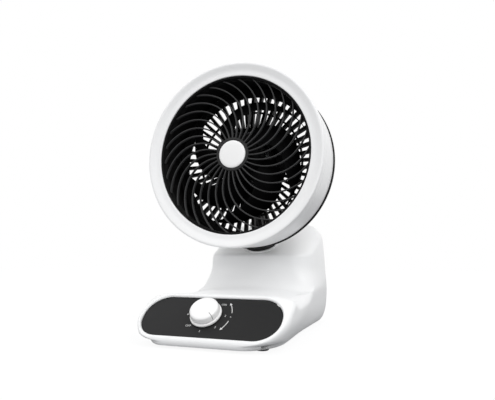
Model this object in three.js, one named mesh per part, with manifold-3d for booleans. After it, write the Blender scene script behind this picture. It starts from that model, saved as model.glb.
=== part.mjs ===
// Air circulator fan on a sloping desk base, as an assembly of separate moulded and metal pieces.
// Millimetres, +Z up, the fan blows towards -Y.  The origin is under the middle of the whole fan,
// on the surface that it stands on.
import * as THREE from 'three';
import { mergeVertices } from 'three/addons/utils/BufferGeometryUtils.js';
import Module from 'manifold-3d';

const wasm = await Module();
wasm.setup();

// ------------------------------------------------------------------ driving dimensions
const GAP = 0.3;                     // clearance between two fixed pieces that touch
const RUN = 0.4;                     // clearance round a turning piece
const WALL = 2.6;                    // moulded wall of the base
const DEG = Math.PI / 180;

// base and column, seen from the side
const BASE_FRONT = -147.8;           // foremost point of the base
const BASE_REAR = 147;               // rear face of the column
const BASE_UNDERSIDE = 2;            // height of the shell's lower edge
const COLUMN_FRONT = 32;             // front face of the column
const COLUMN_TOP_FRONT = 101.5;      // height of the column's front top edge
const COLUMN_TOP_SLOPE = 29;         // degrees, the top rises to the rear
const VALLEY_RISE = 0.3;             // degrees, flat between panel and column
const FOOT_FILLET = 32;              // hollow curve from the flat up to the column
const TOP_EDGE_RADIUS = 6.5;
const SHOULDER_RADIUS = 25;          // column top to its rear face
const RIM_TOP_RADIUS = 6;            // rim above the panel
const RIM_CREST_BACK = 6;            // its rounding starts this far below the rim's upper edge
const TOE_RADIUS = 7.6;              // rim below the panel
const BOTTOM_ROUND = 9;

// base and column, seen from above
const LOBE_HALF_WIDTH = 91;          // front of the base, round the panel
const BASE_REAR_HALF_WIDTH = 83.5;
const COLUMN_FRONT_HALF_WIDTH = 77;
const COLUMN_REAR_HALF_WIDTH = 82;
const COLUMN_CORNER = 12;            // front vertical edges of the column
const REAR_CORNER = 28;              // rear vertical edges
const SHOULDER_ROUND = 38;           // sides into the top
const TOP_SIDE_RADIUS = 24;          // upper side edges of the column
const FLANK_FRONT = -100;            // the base narrows between these two places
const FLANK_REAR = 40;

// control panel
const PANEL_Y = -120.7;
const PANEL_Z = 30.8;
const PANEL_ANGLE = 41.2;            // degrees from the table
const PANEL_HALF_LENGTH = 83.1;
const PANEL_HALF_HEIGHT = 28.4;
const PANEL_CORNER = 27;
const PANEL_THICKNESS = 2.2;
const RIM_PROUD = 2.8;               // the rim stands this far above the panel
const RIM_WIDTH = 8;
const LEDGE_WIDTH = 4.5;             // ledge that carries the panel
const LEDGE_THICKNESS = 2;

// control knob and rotary switch
const KNOB_ACROSS = -5;                // knob's axis from the panel's middle
const KNOB_ALONG = 3.5;
const KNOB_RADIUS = 18.2;
const KNOB_SKIRT_HEIGHT = 4.6;
const KNOB_CAP_RADIUS = 15.2;
const KNOB_HEIGHT = 14;
const SHAFT_RADIUS = 3;
const SWITCH_SIZE = 24;
const SWITCH_DEPTH = 13;
const BUSHING_RADIUS = 4.8;
const BUSHING_HEIGHT = 3.6;          // above the panel's face

// neck and swing drive
const NECK_Y = 60;                   // upright axis that the head swings about
const BALL_Z = 109.5;
const BALL_RADIUS = 23;
const BALL_FLAT_Z = 91.3;
const COLLAR_WIDTH = 3.2;
const COLLAR_PROUD = 2;
const COLLAR_SEAT = 3.2;             // sleeve of the collar inside the shell
const PLATE_Z = 84;                  // underside of the swing plate
const PLATE_THICKNESS = 2.5;
const PLATE_HALF_WIDTH = 60;
const PLATE_FRONT = 41;
const PLATE_REAR = 134;
const POST_RADIUS = 4.5;
const POST_X = 52;
const POST_FRONT_Y = 48;
const POST_REAR_Y = 126;
const NECK_SHAFT_RADIUS = 7;
const NECK_SHAFT_BORE = 4.2;
const BUSH_WALL = 2.2;
const BUSH_FLANGE = 14;
const BUSH_FLANGE_THICKNESS = 2.4;
const GEAR_MODULE = 1.5;
const SECTOR_TEETH = 48;             // of a whole wheel
const PINION_TEETH = 12;
const SECTOR_CUT_TEETH = 15;
const GEAR_THICKNESS = 6;
const GEAR_BACKLASH = 0.35;
const SWING_MOTOR_RADIUS = 23;
const SWING_MOTOR_HEIGHT = 18;
const SWING_SHAFT_RADIUS = 2.5;
const STANDOFF_RADIUS = 3;
const STANDOFF_X = 29;
const SWING_LIMIT = 40;              // degrees each way

// head: a short drum, dimensions along its axis are depths behind the ring's widest edge
const RING_Y = -59.2;
const HEAD_Z = 228;
const RING_RADIUS = 120;
const RING_FACE_WIDTH = 16.8;
const OPENING_RADIUS = RING_RADIUS - RING_FACE_WIDTH;
const RING_DEPTH = 10;
const DRUM_REAR = 68;
const DRUM_TAPER = 2.4;              // the drum is this much smaller at its rear edge
const DRUM_REAR_RADIUS = RING_RADIUS - DRUM_TAPER;
const DRUM_WALL = 2.4;
const REAR_RIM_RADIUS = DRUM_REAR_RADIUS + 0.6;
const REAR_RIM_DEPTH = 76;
const REAR_DISC_DEPTH = 69.5;
const REAR_DISC_THICKNESS = 2.6;
const GRILLE_DEPTH = 8.2;            // grille rim behind the ring's widest edge
const GRILLE_DOME = 6.4;             // the grille's middle stands this much further forward
const RIB_COUNT = 30;
const RIB_WIDTH = 1.8;
const RIB_HEIGHT = 4.2;
const RIB_SWEEP = 45;                // degrees from hub ring to rim
const RIB_PHASE = -5.8;
const GRILLE_RIM_WIDTH = 2.4;
const HUB_RING_RADIUS = 22;
const HUB_CAP_RADIUS = 18;
const HUB_CAP_THICKNESS = 2.4;
const SLOT_BARS = 24;
const SLOT_RINGS = [51, 73.5, 97.5]; // rings between the rows of slots
const SLOT_RING_WIDTH = 2.6;
const BAR_WIDTH = 3;

// impeller and its motor
const BLADE_COUNT = 5;
const BLADE_TIP_RADIUS = 98;
const IMPELLER_HUB_RADIUS = 33;
const IMPELLER_FRONT = 13;
const IMPELLER_HUB_DEPTH = 26;
const BLADE_THICKNESS = 2.2;
const BLADE_CHORD_ANGLE = 62;        // degrees of arc that a blade covers at its root
const BLADE_TWIST_DEPTH = 25;        // rise of a blade along the axis
const MOTOR_SHAFT_RADIUS = 4;
const MOTOR_RADIUS = 36;
const MOTOR_FRONT = 46;
const MOTOR_FRONT_LENGTH = 17;
const STATOR_LENGTH = 14;
const MOTOR_REAR_LENGTH = 15;
const MOTOR_WALL = 2.5;
const ROTOR_RADIUS = 17;
const BEARING_RADIUS = 9;
const BEARING_LENGTH = 6;
const COVER_RADIUS = 47;
const COVER_DEPTH = 30;
const COVER_WALL = 2.2;

// tilt hinge between neck and head
const HINGE_Y = 60;
const HINGE_Z = 145;
const CHEEK_RADIUS = 9;
const CHEEK_THICKNESS = 3.6;
const TONGUE_HALF_WIDTH = 7.6;
const WASHER_THICKNESS = 1;
const TILT_BOLT_RADIUS = 3;

// underside
const FOOT_RADIUS = 9;
const COVER_PLATE_THICKNESS = 2.6;
const FOOT_FRONT_Y = -118;
const FOOT_REAR_Y = 116;
const FOOT_X = 60;
const SCREW_RADIUS = 1.5;
const SCREW_HEAD_RADIUS = 3;
const SCREW_REACH = 9;               // length of a cover screw
const INLET_RADIUS = 5.5;
const INLET_Z = 20;

// sides of round pieces
const LARGE = 36;
const MIDDLE = 20;
const MOTOR_SIDES = 16;
const SMALL = 12;
const TINY = 8;

const THROUGH = 600;                 // reach of a cutter that goes right through

// ------------------------------------------------------------------ finishes
const finish = (color, roughness, metalness = 0) =>
  new THREE.MeshStandardMaterial({ color, roughness, metalness });
const whiteGloss = finish(0xf2f3f4, 0.28);
const charcoal = finish(0x26272a, 0.3);
const black = finish(0x121314, 0.45);
const grilleBlack = finish(0x303234, 0.5);
const rubber = finish(0x1a1a1a, 0.9);
const steel = finish(0xb9bcc0, 0.35, 1);
const aluminium = finish(0xc9ccd0, 0.45, 1);
const brass = finish(0xb08d4a, 0.35, 1);
const acetal = finish(0xe9e6dc, 0.6);
const greyInk = finish(0x55585c, 0.5);

// ------------------------------------------------------------------ solids
/** A closed geometry as a solid that can be joined and cut. */
function solid(geometry) {
  const bare = new THREE.BufferGeometry();
  bare.setAttribute('position', geometry.getAttribute('position'));
  if (geometry.index) bare.setIndex(geometry.index);
  const merged = mergeVertices(bare, 1e-4);
  return new wasm.Manifold(new wasm.Mesh({
    numProp: 3,
    vertProperties: new Float32Array(merged.getAttribute('position').array),
    triVerts: new Uint32Array(merged.index.array),
  }));
}

/** A solid back as a geometry for a mesh. */
function geometryOf(body) {
  const mesh = body.getMesh();
  const geometry = new THREE.BufferGeometry();
  geometry.setAttribute('position', new THREE.BufferAttribute(new Float32Array(mesh.vertProperties), 3));
  geometry.setIndex(new THREE.BufferAttribute(new Uint32Array(mesh.triVerts), 1));
  geometry.computeVertexNormals();
  return geometry;
}

const union = (...bodies) => bodies.reduce((sum, body) => sum.add(body));

/** A box between two corners. */
function box(x0, y0, z0, x1, y1, z1) {
  const shape = new THREE.BoxGeometry(x1 - x0, y1 - y0, z1 - z0);
  shape.translate((x0 + x1) / 2, (y0 + y1) / 2, (z0 + z1) / 2);
  return solid(shape);
}

/** A turned body about Z from [radius, height] points, taken in either order. */
function turned(points, sides = MIDDLE) {
  const area = points.reduce((sum, [r, h], i) => {
    const [r2, h2] = points[(i + 1) % points.length];
    return sum + r * h2 - r2 * h;
  }, 0);
  const ordered = area > 0 ? points : [...points].reverse();
  return solid(new THREE.LatheGeometry(ordered.map(([r, h]) => new THREE.Vector2(r, h)), sides)
    .rotateX(Math.PI / 2));
}

/** A rod about Z between two heights. */
function rod(radius, z0, z1, sides = SMALL) {
  return turned([[0, z0], [radius, z0], [radius, z1], [0, z1]], sides);
}

/** A tube about Z between two heights. */
function tube(inner, outer, z0, z1, sides = SMALL) {
  return turned([[inner, z0], [outer, z0], [outer, z1], [inner, z1], [inner, z0]], sides);
}

/** A flat outline given as a THREE.Shape, as a slab between two heights. */
function slab(shape, z0, z1, curveSegments = 8) {
  const geometry = new THREE.ExtrudeGeometry(shape, { depth: z1 - z0, bevelEnabled: false, curveSegments });
  return solid(geometry.translate(0, 0, z0));
}

/** A rectangle with round corners, centred on the origin. */
function roundedRectangle(halfWidth, halfHeight, radius) {
  const r = Math.min(radius, halfWidth, halfHeight);
  const shape = new THREE.Shape();
  shape.absarc(halfWidth - r, halfHeight - r, r, 0, Math.PI / 2);
  shape.absarc(r - halfWidth, halfHeight - r, r, Math.PI / 2, Math.PI);
  shape.absarc(r - halfWidth, r - halfHeight, r, Math.PI, 1.5 * Math.PI);
  shape.absarc(halfWidth - r, r - halfHeight, r, 1.5 * Math.PI, 2 * Math.PI);
  return shape;
}

/** Moves a body by a three.js matrix. */
function moved(body, matrix) {
  return body.transform(matrix.elements);
}

const shift = (x, y, z) => new THREE.Matrix4().makeTranslation(x, y, z);
const turnX = (degrees) => new THREE.Matrix4().makeRotationX(degrees * DEG);
const turnZ = (degrees) => new THREE.Matrix4().makeRotationZ(degrees * DEG);

/** Adds a named piece to a group. */
function addPiece(group, name, body, material) {
  const mesh = new THREE.Mesh(geometryOf(body), material);
  mesh.name = name;
  group.add(mesh);
  return mesh;
}

/** Smooth step from 0 at a to 1 at b. */
function ease(value, a, b) {
  const t = Math.min(1, Math.max(0, (value - a) / (b - a)));
  return t * t * (3 - 2 * t);
}

// ------------------------------------------------------------------ base form
// The base and its column are one skin: a stack of level outlines whose front edge follows
// the side view, from the toe over the panel slope and the hollow to the column's top.

const slopeNormal = { y: -Math.sin(PANEL_ANGLE * DEG), z: Math.cos(PANEL_ANGLE * DEG) };
const slopeAlong = { y: Math.cos(PANEL_ANGLE * DEG), z: Math.sin(PANEL_ANGLE * DEG) };
const topNormal = { y: -Math.sin(COLUMN_TOP_SLOPE * DEG), z: Math.cos(COLUMN_TOP_SLOPE * DEG) };

/** Height of the column's sloping top at a given y. */
const topPlane = (y) => COLUMN_TOP_FRONT + Math.tan(COLUMN_TOP_SLOPE * DEG) * (y - COLUMN_FRONT);

/** Centre height of an arc of the given radius that lies under the sloping top at y. */
const underTop = (y, radius) => topPlane(y) - radius / topNormal.z;

const rimFace = { y: PANEL_Y + RIM_PROUD * slopeNormal.y, z: PANEL_Z + RIM_PROUD * slopeNormal.z };
const rimTop = {
  y: rimFace.y + (PANEL_HALF_HEIGHT + RIM_WIDTH - RIM_CREST_BACK) * slopeAlong.y - RIM_TOP_RADIUS * slopeNormal.y,
  z: rimFace.z + (PANEL_HALF_HEIGHT + RIM_WIDTH - RIM_CREST_BACK) * slopeAlong.z - RIM_TOP_RADIUS * slopeNormal.z,
};
const toe = { y: BASE_FRONT + TOE_RADIUS, z: 0 };
// the toe's arc touches the rim's slope
toe.z = rimFace.z + ((toe.y - rimFace.y) * -slopeNormal.y - TOE_RADIUS) / slopeNormal.z;
const VALLEY_HEIGHT = rimTop.z + RIM_TOP_RADIUS;
const filletZ = VALLEY_HEIGHT + (COLUMN_FRONT - FOOT_FILLET - rimTop.y) * Math.tan(VALLEY_RISE * DEG) + FOOT_FILLET;
const shoulder = { y: BASE_REAR - SHOULDER_RADIUS, z: underTop(BASE_REAR - SHOULDER_RADIUS, SHOULDER_RADIUS) };
const APEX = shoulder.z + SHOULDER_RADIUS;

/** Points of an arc in the side view, angles in degrees from +Y. */
function sideArc(y, z, radius, from, to, steps) {
  return Array.from({ length: steps + 1 }, (_, i) => {
    const angle = (from + ((to - from) * i) / steps) * DEG;
    return { y: y + radius * Math.cos(angle), z: z + radius * Math.sin(angle) };
  });
}

/** Front edge of the skin from underside to apex, set inwards by inset, rising all the way;
 *  detail gives the steps of its five arcs. */
function frontProfile(inset, detail) {
  const slopeAngle = 90 + PANEL_ANGLE;
  const topAngle = 90 + COLUMN_TOP_SLOPE;
  const edge = TOP_EDGE_RADIUS - inset;
  const lowAngle = 180 + Math.asin(Math.min(1, (toe.z - BASE_UNDERSIDE) / TOE_RADIUS)) / DEG;
  const edgeZ = underTop(COLUMN_FRONT + TOP_EDGE_RADIUS, TOP_EDGE_RADIUS);
  return [
    ...sideArc(toe.y, toe.z, TOE_RADIUS - inset, lowAngle, slopeAngle, detail[0]),
    ...sideArc(rimTop.y, rimTop.z, RIM_TOP_RADIUS - inset, slopeAngle, 90 + VALLEY_RISE, detail[1]),
    ...sideArc(COLUMN_FRONT - FOOT_FILLET, filletZ, FOOT_FILLET + inset, VALLEY_RISE - 90, 0, detail[2]),
    ...sideArc(COLUMN_FRONT + TOP_EDGE_RADIUS, edgeZ, edge, 180, topAngle, detail[3]),
    ...sideArc(shoulder.y, shoulder.z, SHOULDER_RADIUS - inset, topAngle, 90 + 6, detail[4]),
  ];
}

/** How far a round edge of the given radius under the apex is set in at a height. */
function topRound(z, radius, inset) {
  const high = Math.max(0, z - APEX + radius);
  const r = radius - inset;
  return high > 0 ? r - Math.sqrt(Math.max(0, r * r - high * high)) : 0;
}

/** Rear edge of the skin at a height. */
function rearEdge(z, inset) {
  const low = Math.max(0, BASE_UNDERSIDE + BOTTOM_ROUND - z);
  return BASE_REAR - inset - topRound(z, SHOULDER_RADIUS, inset) - bottomInset(low);
}

const bottomInset = (low) =>
  BOTTOM_ROUND - Math.sqrt(Math.max(0, BOTTOM_ROUND * BOTTOM_ROUND - low * low));

/** Half width of the skin at a place. */
function halfWidth(y, z, inset) {
  const columnShare = ease(z, 48, 84);
  const base = LOBE_HALF_WIDTH + (BASE_REAR_HALF_WIDTH - LOBE_HALF_WIDTH) * ease(y, FLANK_FRONT, FLANK_REAR);
  const column = COLUMN_FRONT_HALF_WIDTH
    + (COLUMN_REAR_HALF_WIDTH - COLUMN_FRONT_HALF_WIDTH) * ease(y, COLUMN_FRONT, BASE_REAR - 30);
  const low = Math.max(0, BASE_UNDERSIDE + BOTTOM_ROUND - z);
  const ledge = Math.min(1, Math.max(0, (z - (VALLEY_HEIGHT - 10)) / 10));
  const rimRound = 8 * (1 - Math.sqrt(1 - ledge * ledge)) * (1 - ease(y, -20, 30));
  const round = bottomInset(low) + rimRound + topRound(z, TOP_SIDE_RADIUS, inset);
  return base + (column - base) * columnShare - round - inset;
}

/** Half length of the panel's rim where the skin's slope crosses a height. */
function rimHalfLength(z) {
  const up = Math.min(1, Math.abs(z - PANEL_Z) / slopeAlong.z / (PANEL_HALF_HEIGHT + RIM_WIDTH));
  const radius = PANEL_HALF_HEIGHT + RIM_WIDTH;
  return PANEL_HALF_LENGTH + RIM_WIDTH - radius + radius * Math.sqrt(1 - up * up);
}

/** One level outline, front middle round to front middle, counter-clockwise from above. */
function outline(front, z, inset, steps) {
  const rear = rearEdge(z, inset);
  const length = rear - front;
  const rise = ease(z, VALLEY_HEIGHT - 2, VALLEY_HEIGHT + 12);
  const widthHere = halfWidth(front, z, inset);
  const lobe = Math.max(6, widthHere + inset - rimHalfLength(Math.min(z, VALLEY_HEIGHT)) + 6);
  const crown = ease(z, 92, APEX);
  const frontX = (lobe * (1 - rise) + COLUMN_CORNER * rise) * (1 - crown) + SHOULDER_ROUND * crown;
  const frontY = Math.min((lobe * 1.1 + 8) * (1 - rise) + (COLUMN_CORNER + 3) * rise + 30 * crown, 0.5 * length);
  const rearX = REAR_CORNER + (SHOULDER_ROUND - REAR_CORNER) * crown;
  const rearY = Math.min(REAR_CORNER, 0.5 * length);
  const half = [];
  const width = (y) => halfWidth(y, z, inset);
  for (let i = 0; i < steps.front; i += 1) half.push([(i / steps.front) * (width(front + frontY) - frontX), front]);
  for (let i = 0; i <= steps.corner; i += 1) {
    const a = (i / steps.corner) * 90 * DEG;
    const y = front + frontY * (1 - Math.cos(a));
    half.push([width(y) - frontX * (1 - Math.sin(a)), y]);
  }
  for (let i = 1; i < steps.side; i += 1) {
    const y = front + frontY + (i / steps.side) * (length - frontY - rearY);
    half.push([width(y), y]);
  }
  for (let i = 0; i <= steps.corner; i += 1) {
    const a = (i / steps.corner) * 90 * DEG;
    const y = rear - rearY * (1 - Math.sin(a));
    half.push([width(y) - rearX * (1 - Math.cos(a)), y]);
  }
  const inner = width(rear) - rearX;
  for (let i = 1; i < steps.rear; i += 1) half.push([inner * (1 - i / steps.rear), rear]);
  const left = half.slice(1).reverse().map(([x, y]) => [-x, y]);
  return [...half, [0, rear], ...left].map(([x, y]) => [x, y, z]);
}

/** A solid stack of outlines that all have the same number of points. */
function stack(outlines) {
  const count = outlines[0].length;
  const points = outlines.flat();
  const faces = [];
  for (let level = 0; level < outlines.length - 1; level += 1) {
    for (let i = 0; i < count; i += 1) {
      const a = level * count + i;
      const b = level * count + ((i + 1) % count);
      faces.push(a, b, b + count, a, b + count, a + count);
    }
  }
  const middle = (ring) => ring.reduce((sum, p) => sum.map((v, k) => v + p[k] / count), [0, 0, 0]);
  const top = points.push(middle(outlines[outlines.length - 1])) - 1;
  const bottom = points.push(middle(outlines[0])) - 1;
  const last = (outlines.length - 1) * count;
  for (let i = 0; i < count; i += 1) {
    const j = (i + 1) % count;
    faces.push(last + i, last + j, top, j, i, bottom);
  }
  const geometry = new THREE.BufferGeometry();
  geometry.setAttribute('position', new THREE.Float32BufferAttribute(points.flat(), 3));
  geometry.setIndex(faces);
  return solid(geometry);
}

/** Outline of the skin at its lower edge, set inwards by inset. */
function lowerEdge(inset, steps) {
  return outline(frontProfile(0, [1, 1, 1, 1, 1])[0].y + inset, BASE_UNDERSIDE, inset, steps);
}

/** The whole form of the base, set inwards by inset; reach carries a hollow's form down
 *  through the underside. */
function baseForm(inset, detail, steps, reach = 0) {
  const levels = frontProfile(inset, detail).map(({ y, z }) => outline(y, z, inset, steps));
  if (reach > 0) {
    const lip = lowerEdge(inset, steps);
    levels.unshift(lip.map(([x, y, z]) => [x, y, z - reach]), lip);
  }
  return stack(levels);
}

const SKIN_STEPS = { front: 1, corner: 4, side: 4, rear: 1 };
const panelFrame = shift(0, PANEL_Y, PANEL_Z).multiply(turnX(PANEL_ANGLE));
const neckFrame = shift(0, NECK_Y, 0);
const ballToTop = (topPlane(NECK_Y) - BALL_Z) * topNormal.z;   // ball centre to the sloping top
const collarFrame = shift(0, NECK_Y, BALL_Z).multiply(turnX(COLUMN_TOP_SLOPE));
const collarInner = Math.sqrt(BALL_RADIUS ** 2 - ballToTop ** 2) + 2 * RUN;
const collarOuter = collarInner + COLLAR_WIDTH;
const ledgeDepth = PANEL_THICKNESS + GAP;
const postPlaces = [POST_FRONT_Y, POST_REAR_Y].flatMap((y) => [[-POST_X, y], [POST_X, y]]);
const coverScrewPlaces = [[-66, -96], [66, -96], [-62, 100], [62, 100]];
const coverTop = BASE_UNDERSIDE + GAP + COVER_PLATE_THICKNESS;

/** White one-piece housing: base, column, panel ledge, neck opening and posts. */
function makeHousing() {
  const outer = baseForm(0, [3, 3, 4, 2, 3], SKIN_STEPS);
  const inner = baseForm(WALL, [2, 2, 4, 1, 3], SKIN_STEPS, 2);
  const inside = baseForm(WALL / 2, [2, 2, 3, 1, 2], SKIN_STEPS);
  const ledge = moved(slab(roundedRectangle(PANEL_HALF_LENGTH + WALL, PANEL_HALF_HEIGHT + WALL,
    PANEL_CORNER + WALL), -ledgeDepth - LEDGE_THICKNESS, 1, 4), panelFrame);
  const screwPosts = coverScrewPlaces.map(([x, y]) => {
    const web = box(0, -1.2, coverTop + GAP, 40, 1.2, 30).rotate([0, 0, x < 0 ? 180 : 0]);
    const bore = rod(SCREW_RADIUS + GAP, 0, SCREW_REACH + BASE_UNDERSIDE + 2 * GAP, TINY);
    return rod(POST_RADIUS, coverTop + GAP, 30, TINY).add(web).subtract(bore).translate(x, y, 0);
  });
  const platePosts = postPlaces.map(([x, y]) => rod(POST_RADIUS, PLATE_Z + PLATE_THICKNESS + GAP, APEX, TINY)
    .translate(x, y, 0));
  const recess = moved(slab(roundedRectangle(PANEL_HALF_LENGTH + GAP, PANEL_HALF_HEIGHT + GAP,
    PANEL_CORNER + GAP), -ledgeDepth, 20, 5), panelFrame);
  const window = moved(slab(roundedRectangle(PANEL_HALF_LENGTH - LEDGE_WIDTH,
    PANEL_HALF_HEIGHT - LEDGE_WIDTH, PANEL_CORNER - LEDGE_WIDTH), -8, 20, 3), panelFrame);
  const neckHole = moved(rod(collarOuter - COLLAR_WIDTH / 2 + GAP, 0, 40, MIDDLE), collarFrame);
  const inlet = moved(rod(INLET_RADIUS + GAP, -20, 20, SMALL), shift(0, BASE_REAR, INLET_Z).multiply(turnX(90)));
  const fittings = union(ledge, ...screwPosts, ...platePosts).intersect(inside);
  return outer.subtract(inner).add(fittings).subtract(union(recess, window, neckHole, inlet));
}

/** Flat outline of the skin's inside at its lower edge, as a shape. */
function floorShape(inset) {
  return new THREE.Shape(lowerEdge(inset, SKIN_STEPS).map(([x, y]) => new THREE.Vector2(x, y)));
}

const footPlaces = [
  ['foot_front_left', -FOOT_X, FOOT_FRONT_Y], ['foot_front_right', FOOT_X, FOOT_FRONT_Y],
  ['foot_rear_left', -FOOT_X, FOOT_REAR_Y], ['foot_rear_right', FOOT_X, FOOT_REAR_Y],
];
const FOOT_STEM = 2.4;
const footPocket = 1;                // the foot's pad sinks this far into the bottom cover

/** Bottom cover: a flat plate inside the housing's lower edge, with air slots and foot holes. */
function makeBottomCover() {
  const low = BASE_UNDERSIDE + GAP;
  let plate = slab(floorShape(WALL + GAP), low, coverTop);
  for (const [, x, y] of footPlaces) {
    plate = plate.subtract(rod(FOOT_STEM + GAP, 0, 20, TINY).translate(x, y, 0));
    plate = plate.subtract(rod(FOOT_RADIUS + GAP, 0, low + footPocket, SMALL).translate(x, y, 0));
  }
  for (const [x, y] of coverScrewPlaces) {
    plate = plate.subtract(rod(SCREW_RADIUS + GAP, 0, 20, TINY).translate(x, y, 0));
    plate = plate.subtract(rod(SCREW_HEAD_RADIUS + GAP, 0, low + 1.2, TINY).translate(x, y, 0));
  }
  const slot = box(-26, -2, 0, 26, 2, 20);
  for (let row = 0; row < 5; row += 1) plate = plate.subtract(slot.translate(0, 60 + row * 9, 0));
  return plate;
}

function makeFoot() {
  const low = BASE_UNDERSIDE + GAP;
  const seat = low + footPocket - GAP;
  return turned([[0, 0], [FOOT_RADIUS, 0], [FOOT_RADIUS, seat], [FOOT_STEM, seat],
    [FOOT_STEM, coverTop + GAP], [FOOT_STEM + 1.1, coverTop + GAP], [0, coverTop + 2.8]], SMALL);
}

/** Pan-head screw pointing up from z = 0, with a cross recess left to the finish. */
function makeScrew(length) {
  return turned([[0, 0], [SCREW_HEAD_RADIUS, 0], [SCREW_HEAD_RADIUS, 0.9], [SCREW_RADIUS, 0.9],
    [SCREW_RADIUS, length - 1], [0, length]], TINY);
}

// ------------------------------------------------------------------ controls
/** Charcoal panel with the hole for the switch's bushing. */
function makePanel() {
  const plate = slab(roundedRectangle(PANEL_HALF_LENGTH, PANEL_HALF_HEIGHT, PANEL_CORNER),
    -PANEL_THICKNESS, 0, 5);
  return plate.subtract(rod(BUSHING_RADIUS + GAP, -10, 10).translate(KNOB_ACROSS, KNOB_ALONG, 0));
}

/** Rotary switch behind the panel, with its threaded bushing through it. */
function makeSwitch() {
  const back = -PANEL_THICKNESS - GAP - SWITCH_DEPTH;
  const body = slab(roundedRectangle(SWITCH_SIZE / 2, SWITCH_SIZE / 2, 2), back, -PANEL_THICKNESS - GAP, 3);
  const bushing = rod(BUSHING_RADIUS, back + 2, BUSHING_HEIGHT);
  const tags = [-8, -3, 3, 8].map((x) => box(x - 1, -SWITCH_SIZE / 2 + 2, back - 5, x + 1, -SWITCH_SIZE / 2 + 3, back + 1));
  const bore = rod(SHAFT_RADIUS + RUN, back + 5, 20, 12);
  return union(body, bushing, ...tags).subtract(bore);
}

/** Two-step knob: a skirt and a domed cap, hollow over the switch's nut. */
function makeKnob() {
  const low = 0.8;
  const form = turned([[0, low], [KNOB_RADIUS - 0.3, low], [KNOB_RADIUS, low + 0.6],
    [KNOB_RADIUS - 0.6, KNOB_SKIRT_HEIGHT - 0.8], [KNOB_RADIUS - 1.6, KNOB_SKIRT_HEIGHT],
    [KNOB_CAP_RADIUS + 0.3, KNOB_SKIRT_HEIGHT + 0.3], [KNOB_CAP_RADIUS, KNOB_SKIRT_HEIGHT + 1],
    [KNOB_CAP_RADIUS - 0.7, KNOB_HEIGHT - 2.2], [KNOB_CAP_RADIUS - 1.6, KNOB_HEIGHT - 0.9],
    [KNOB_CAP_RADIUS - 3.4, KNOB_HEIGHT - 0.2], [0, KNOB_HEIGHT]], MIDDLE);
  const nutRoom = rod(BUSHING_RADIUS + 5, 0, BUSHING_HEIGHT + 1);
  const bore = rod(SHAFT_RADIUS + GAP, 0, KNOB_HEIGHT - 3, 12);
  const marker = box(-1, -KNOB_RADIUS - 1, KNOB_SKIRT_HEIGHT - 1.6, 1, -KNOB_CAP_RADIUS + 2, KNOB_HEIGHT + 1);
  return form.subtract(union(nutRoom, bore, marker));
}

/** Grey pointer let into the knob's skirt. */
function makePointer() {
  const low = KNOB_SKIRT_HEIGHT - 1.6 + GAP;
  return box(-1 + GAP, -KNOB_RADIUS + 0.9, low, 1 - GAP, -KNOB_CAP_RADIUS + 2 - GAP, KNOB_SKIRT_HEIGHT - 0.1);
}

/** Shaft that joins knob and switch. */
function makeSwitchShaft() {
  const back = -PANEL_THICKNESS - GAP - SWITCH_DEPTH;
  return rod(SHAFT_RADIUS, back + 5 + GAP, KNOB_HEIGHT - 3 - GAP, 12);
}

function makeSwitchNut() {
  return rod(BUSHING_RADIUS + 2.6, GAP, 2.6, 6).subtract(rod(BUSHING_RADIUS + GAP, -5, 10));
}

// ------------------------------------------------------------------ neck and swing drive
/** White ring round the neck opening, its sleeve in the housing's hole. */
function makeCollar() {
  const top = ballToTop + COLLAR_PROUD;
  const seat = ballToTop + GAP;
  const sleeve = collarOuter - COLLAR_WIDTH / 2;
  const under = ballToTop - COLLAR_SEAT;
  const ballGap = (h) => Math.sqrt(BALL_RADIUS ** 2 - h * h) + 2 * RUN;
  return moved(turned([[ballGap(under), under], [sleeve, under], [sleeve, seat], [collarOuter, seat],
    [collarOuter, top - 0.9], [collarOuter - 0.9, top], [collarInner + 0.6, top], [collarInner, top - 0.6],
    [collarInner, ballToTop], [ballGap(under), under]], MIDDLE), shift(0, NECK_Y, BALL_Z)
    .multiply(turnX(COLUMN_TOP_SLOPE)));
}

/** Black swivel neck: a ball with two cheeks for the tilt hinge. */
function makeSwivelNeck() {
  const rows = 6;
  const profile = [[0, BALL_FLAT_Z]];
  const lowest = Math.asin((BALL_FLAT_Z - BALL_Z) / BALL_RADIUS);
  for (let i = 0; i <= rows; i += 1) {
    const a = lowest + ((Math.PI / 2 - lowest) * i) / rows;
    profile.push([i === rows ? 0 : BALL_RADIUS * Math.cos(a), BALL_Z + BALL_RADIUS * Math.sin(a)]);
  }
  const ball = turned(profile, MIDDLE);
  const inner = TONGUE_HALF_WIDTH + WASHER_THICKNESS + 2 * GAP;
  const cheek = (side) => {
    const round = moved(rod(CHEEK_RADIUS, inner, inner + CHEEK_THICKNESS, SMALL),
      shift(0, HINGE_Y - NECK_Y, HINGE_Z).multiply(new THREE.Matrix4().makeRotationY(Math.PI / 2)));
    const post = box(inner, -CHEEK_RADIUS, BALL_Z, inner + CHEEK_THICKNESS, CHEEK_RADIUS, HINGE_Z);
    const both = union(round, post);
    return side > 0 ? both : both.mirror([1, 0, 0]);
  };
  const slot = box(-inner, -BALL_RADIUS, HINGE_Z - CHEEK_RADIUS - 2.5, inner, BALL_RADIUS, HINGE_Z + 20);
  const socket = rod(NECK_SHAFT_RADIUS + GAP, BALL_FLAT_Z - 5, BALL_FLAT_Z + 10);
  const boltHole = moved(rod(TILT_BOLT_RADIUS + GAP, -30, 30, TINY),
    shift(0, HINGE_Y - NECK_Y, HINGE_Z).multiply(new THREE.Matrix4().makeRotationY(Math.PI / 2)));
  return union(ball, cheek(1), cheek(-1)).subtract(union(slot, socket, boltHole));
}

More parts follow.
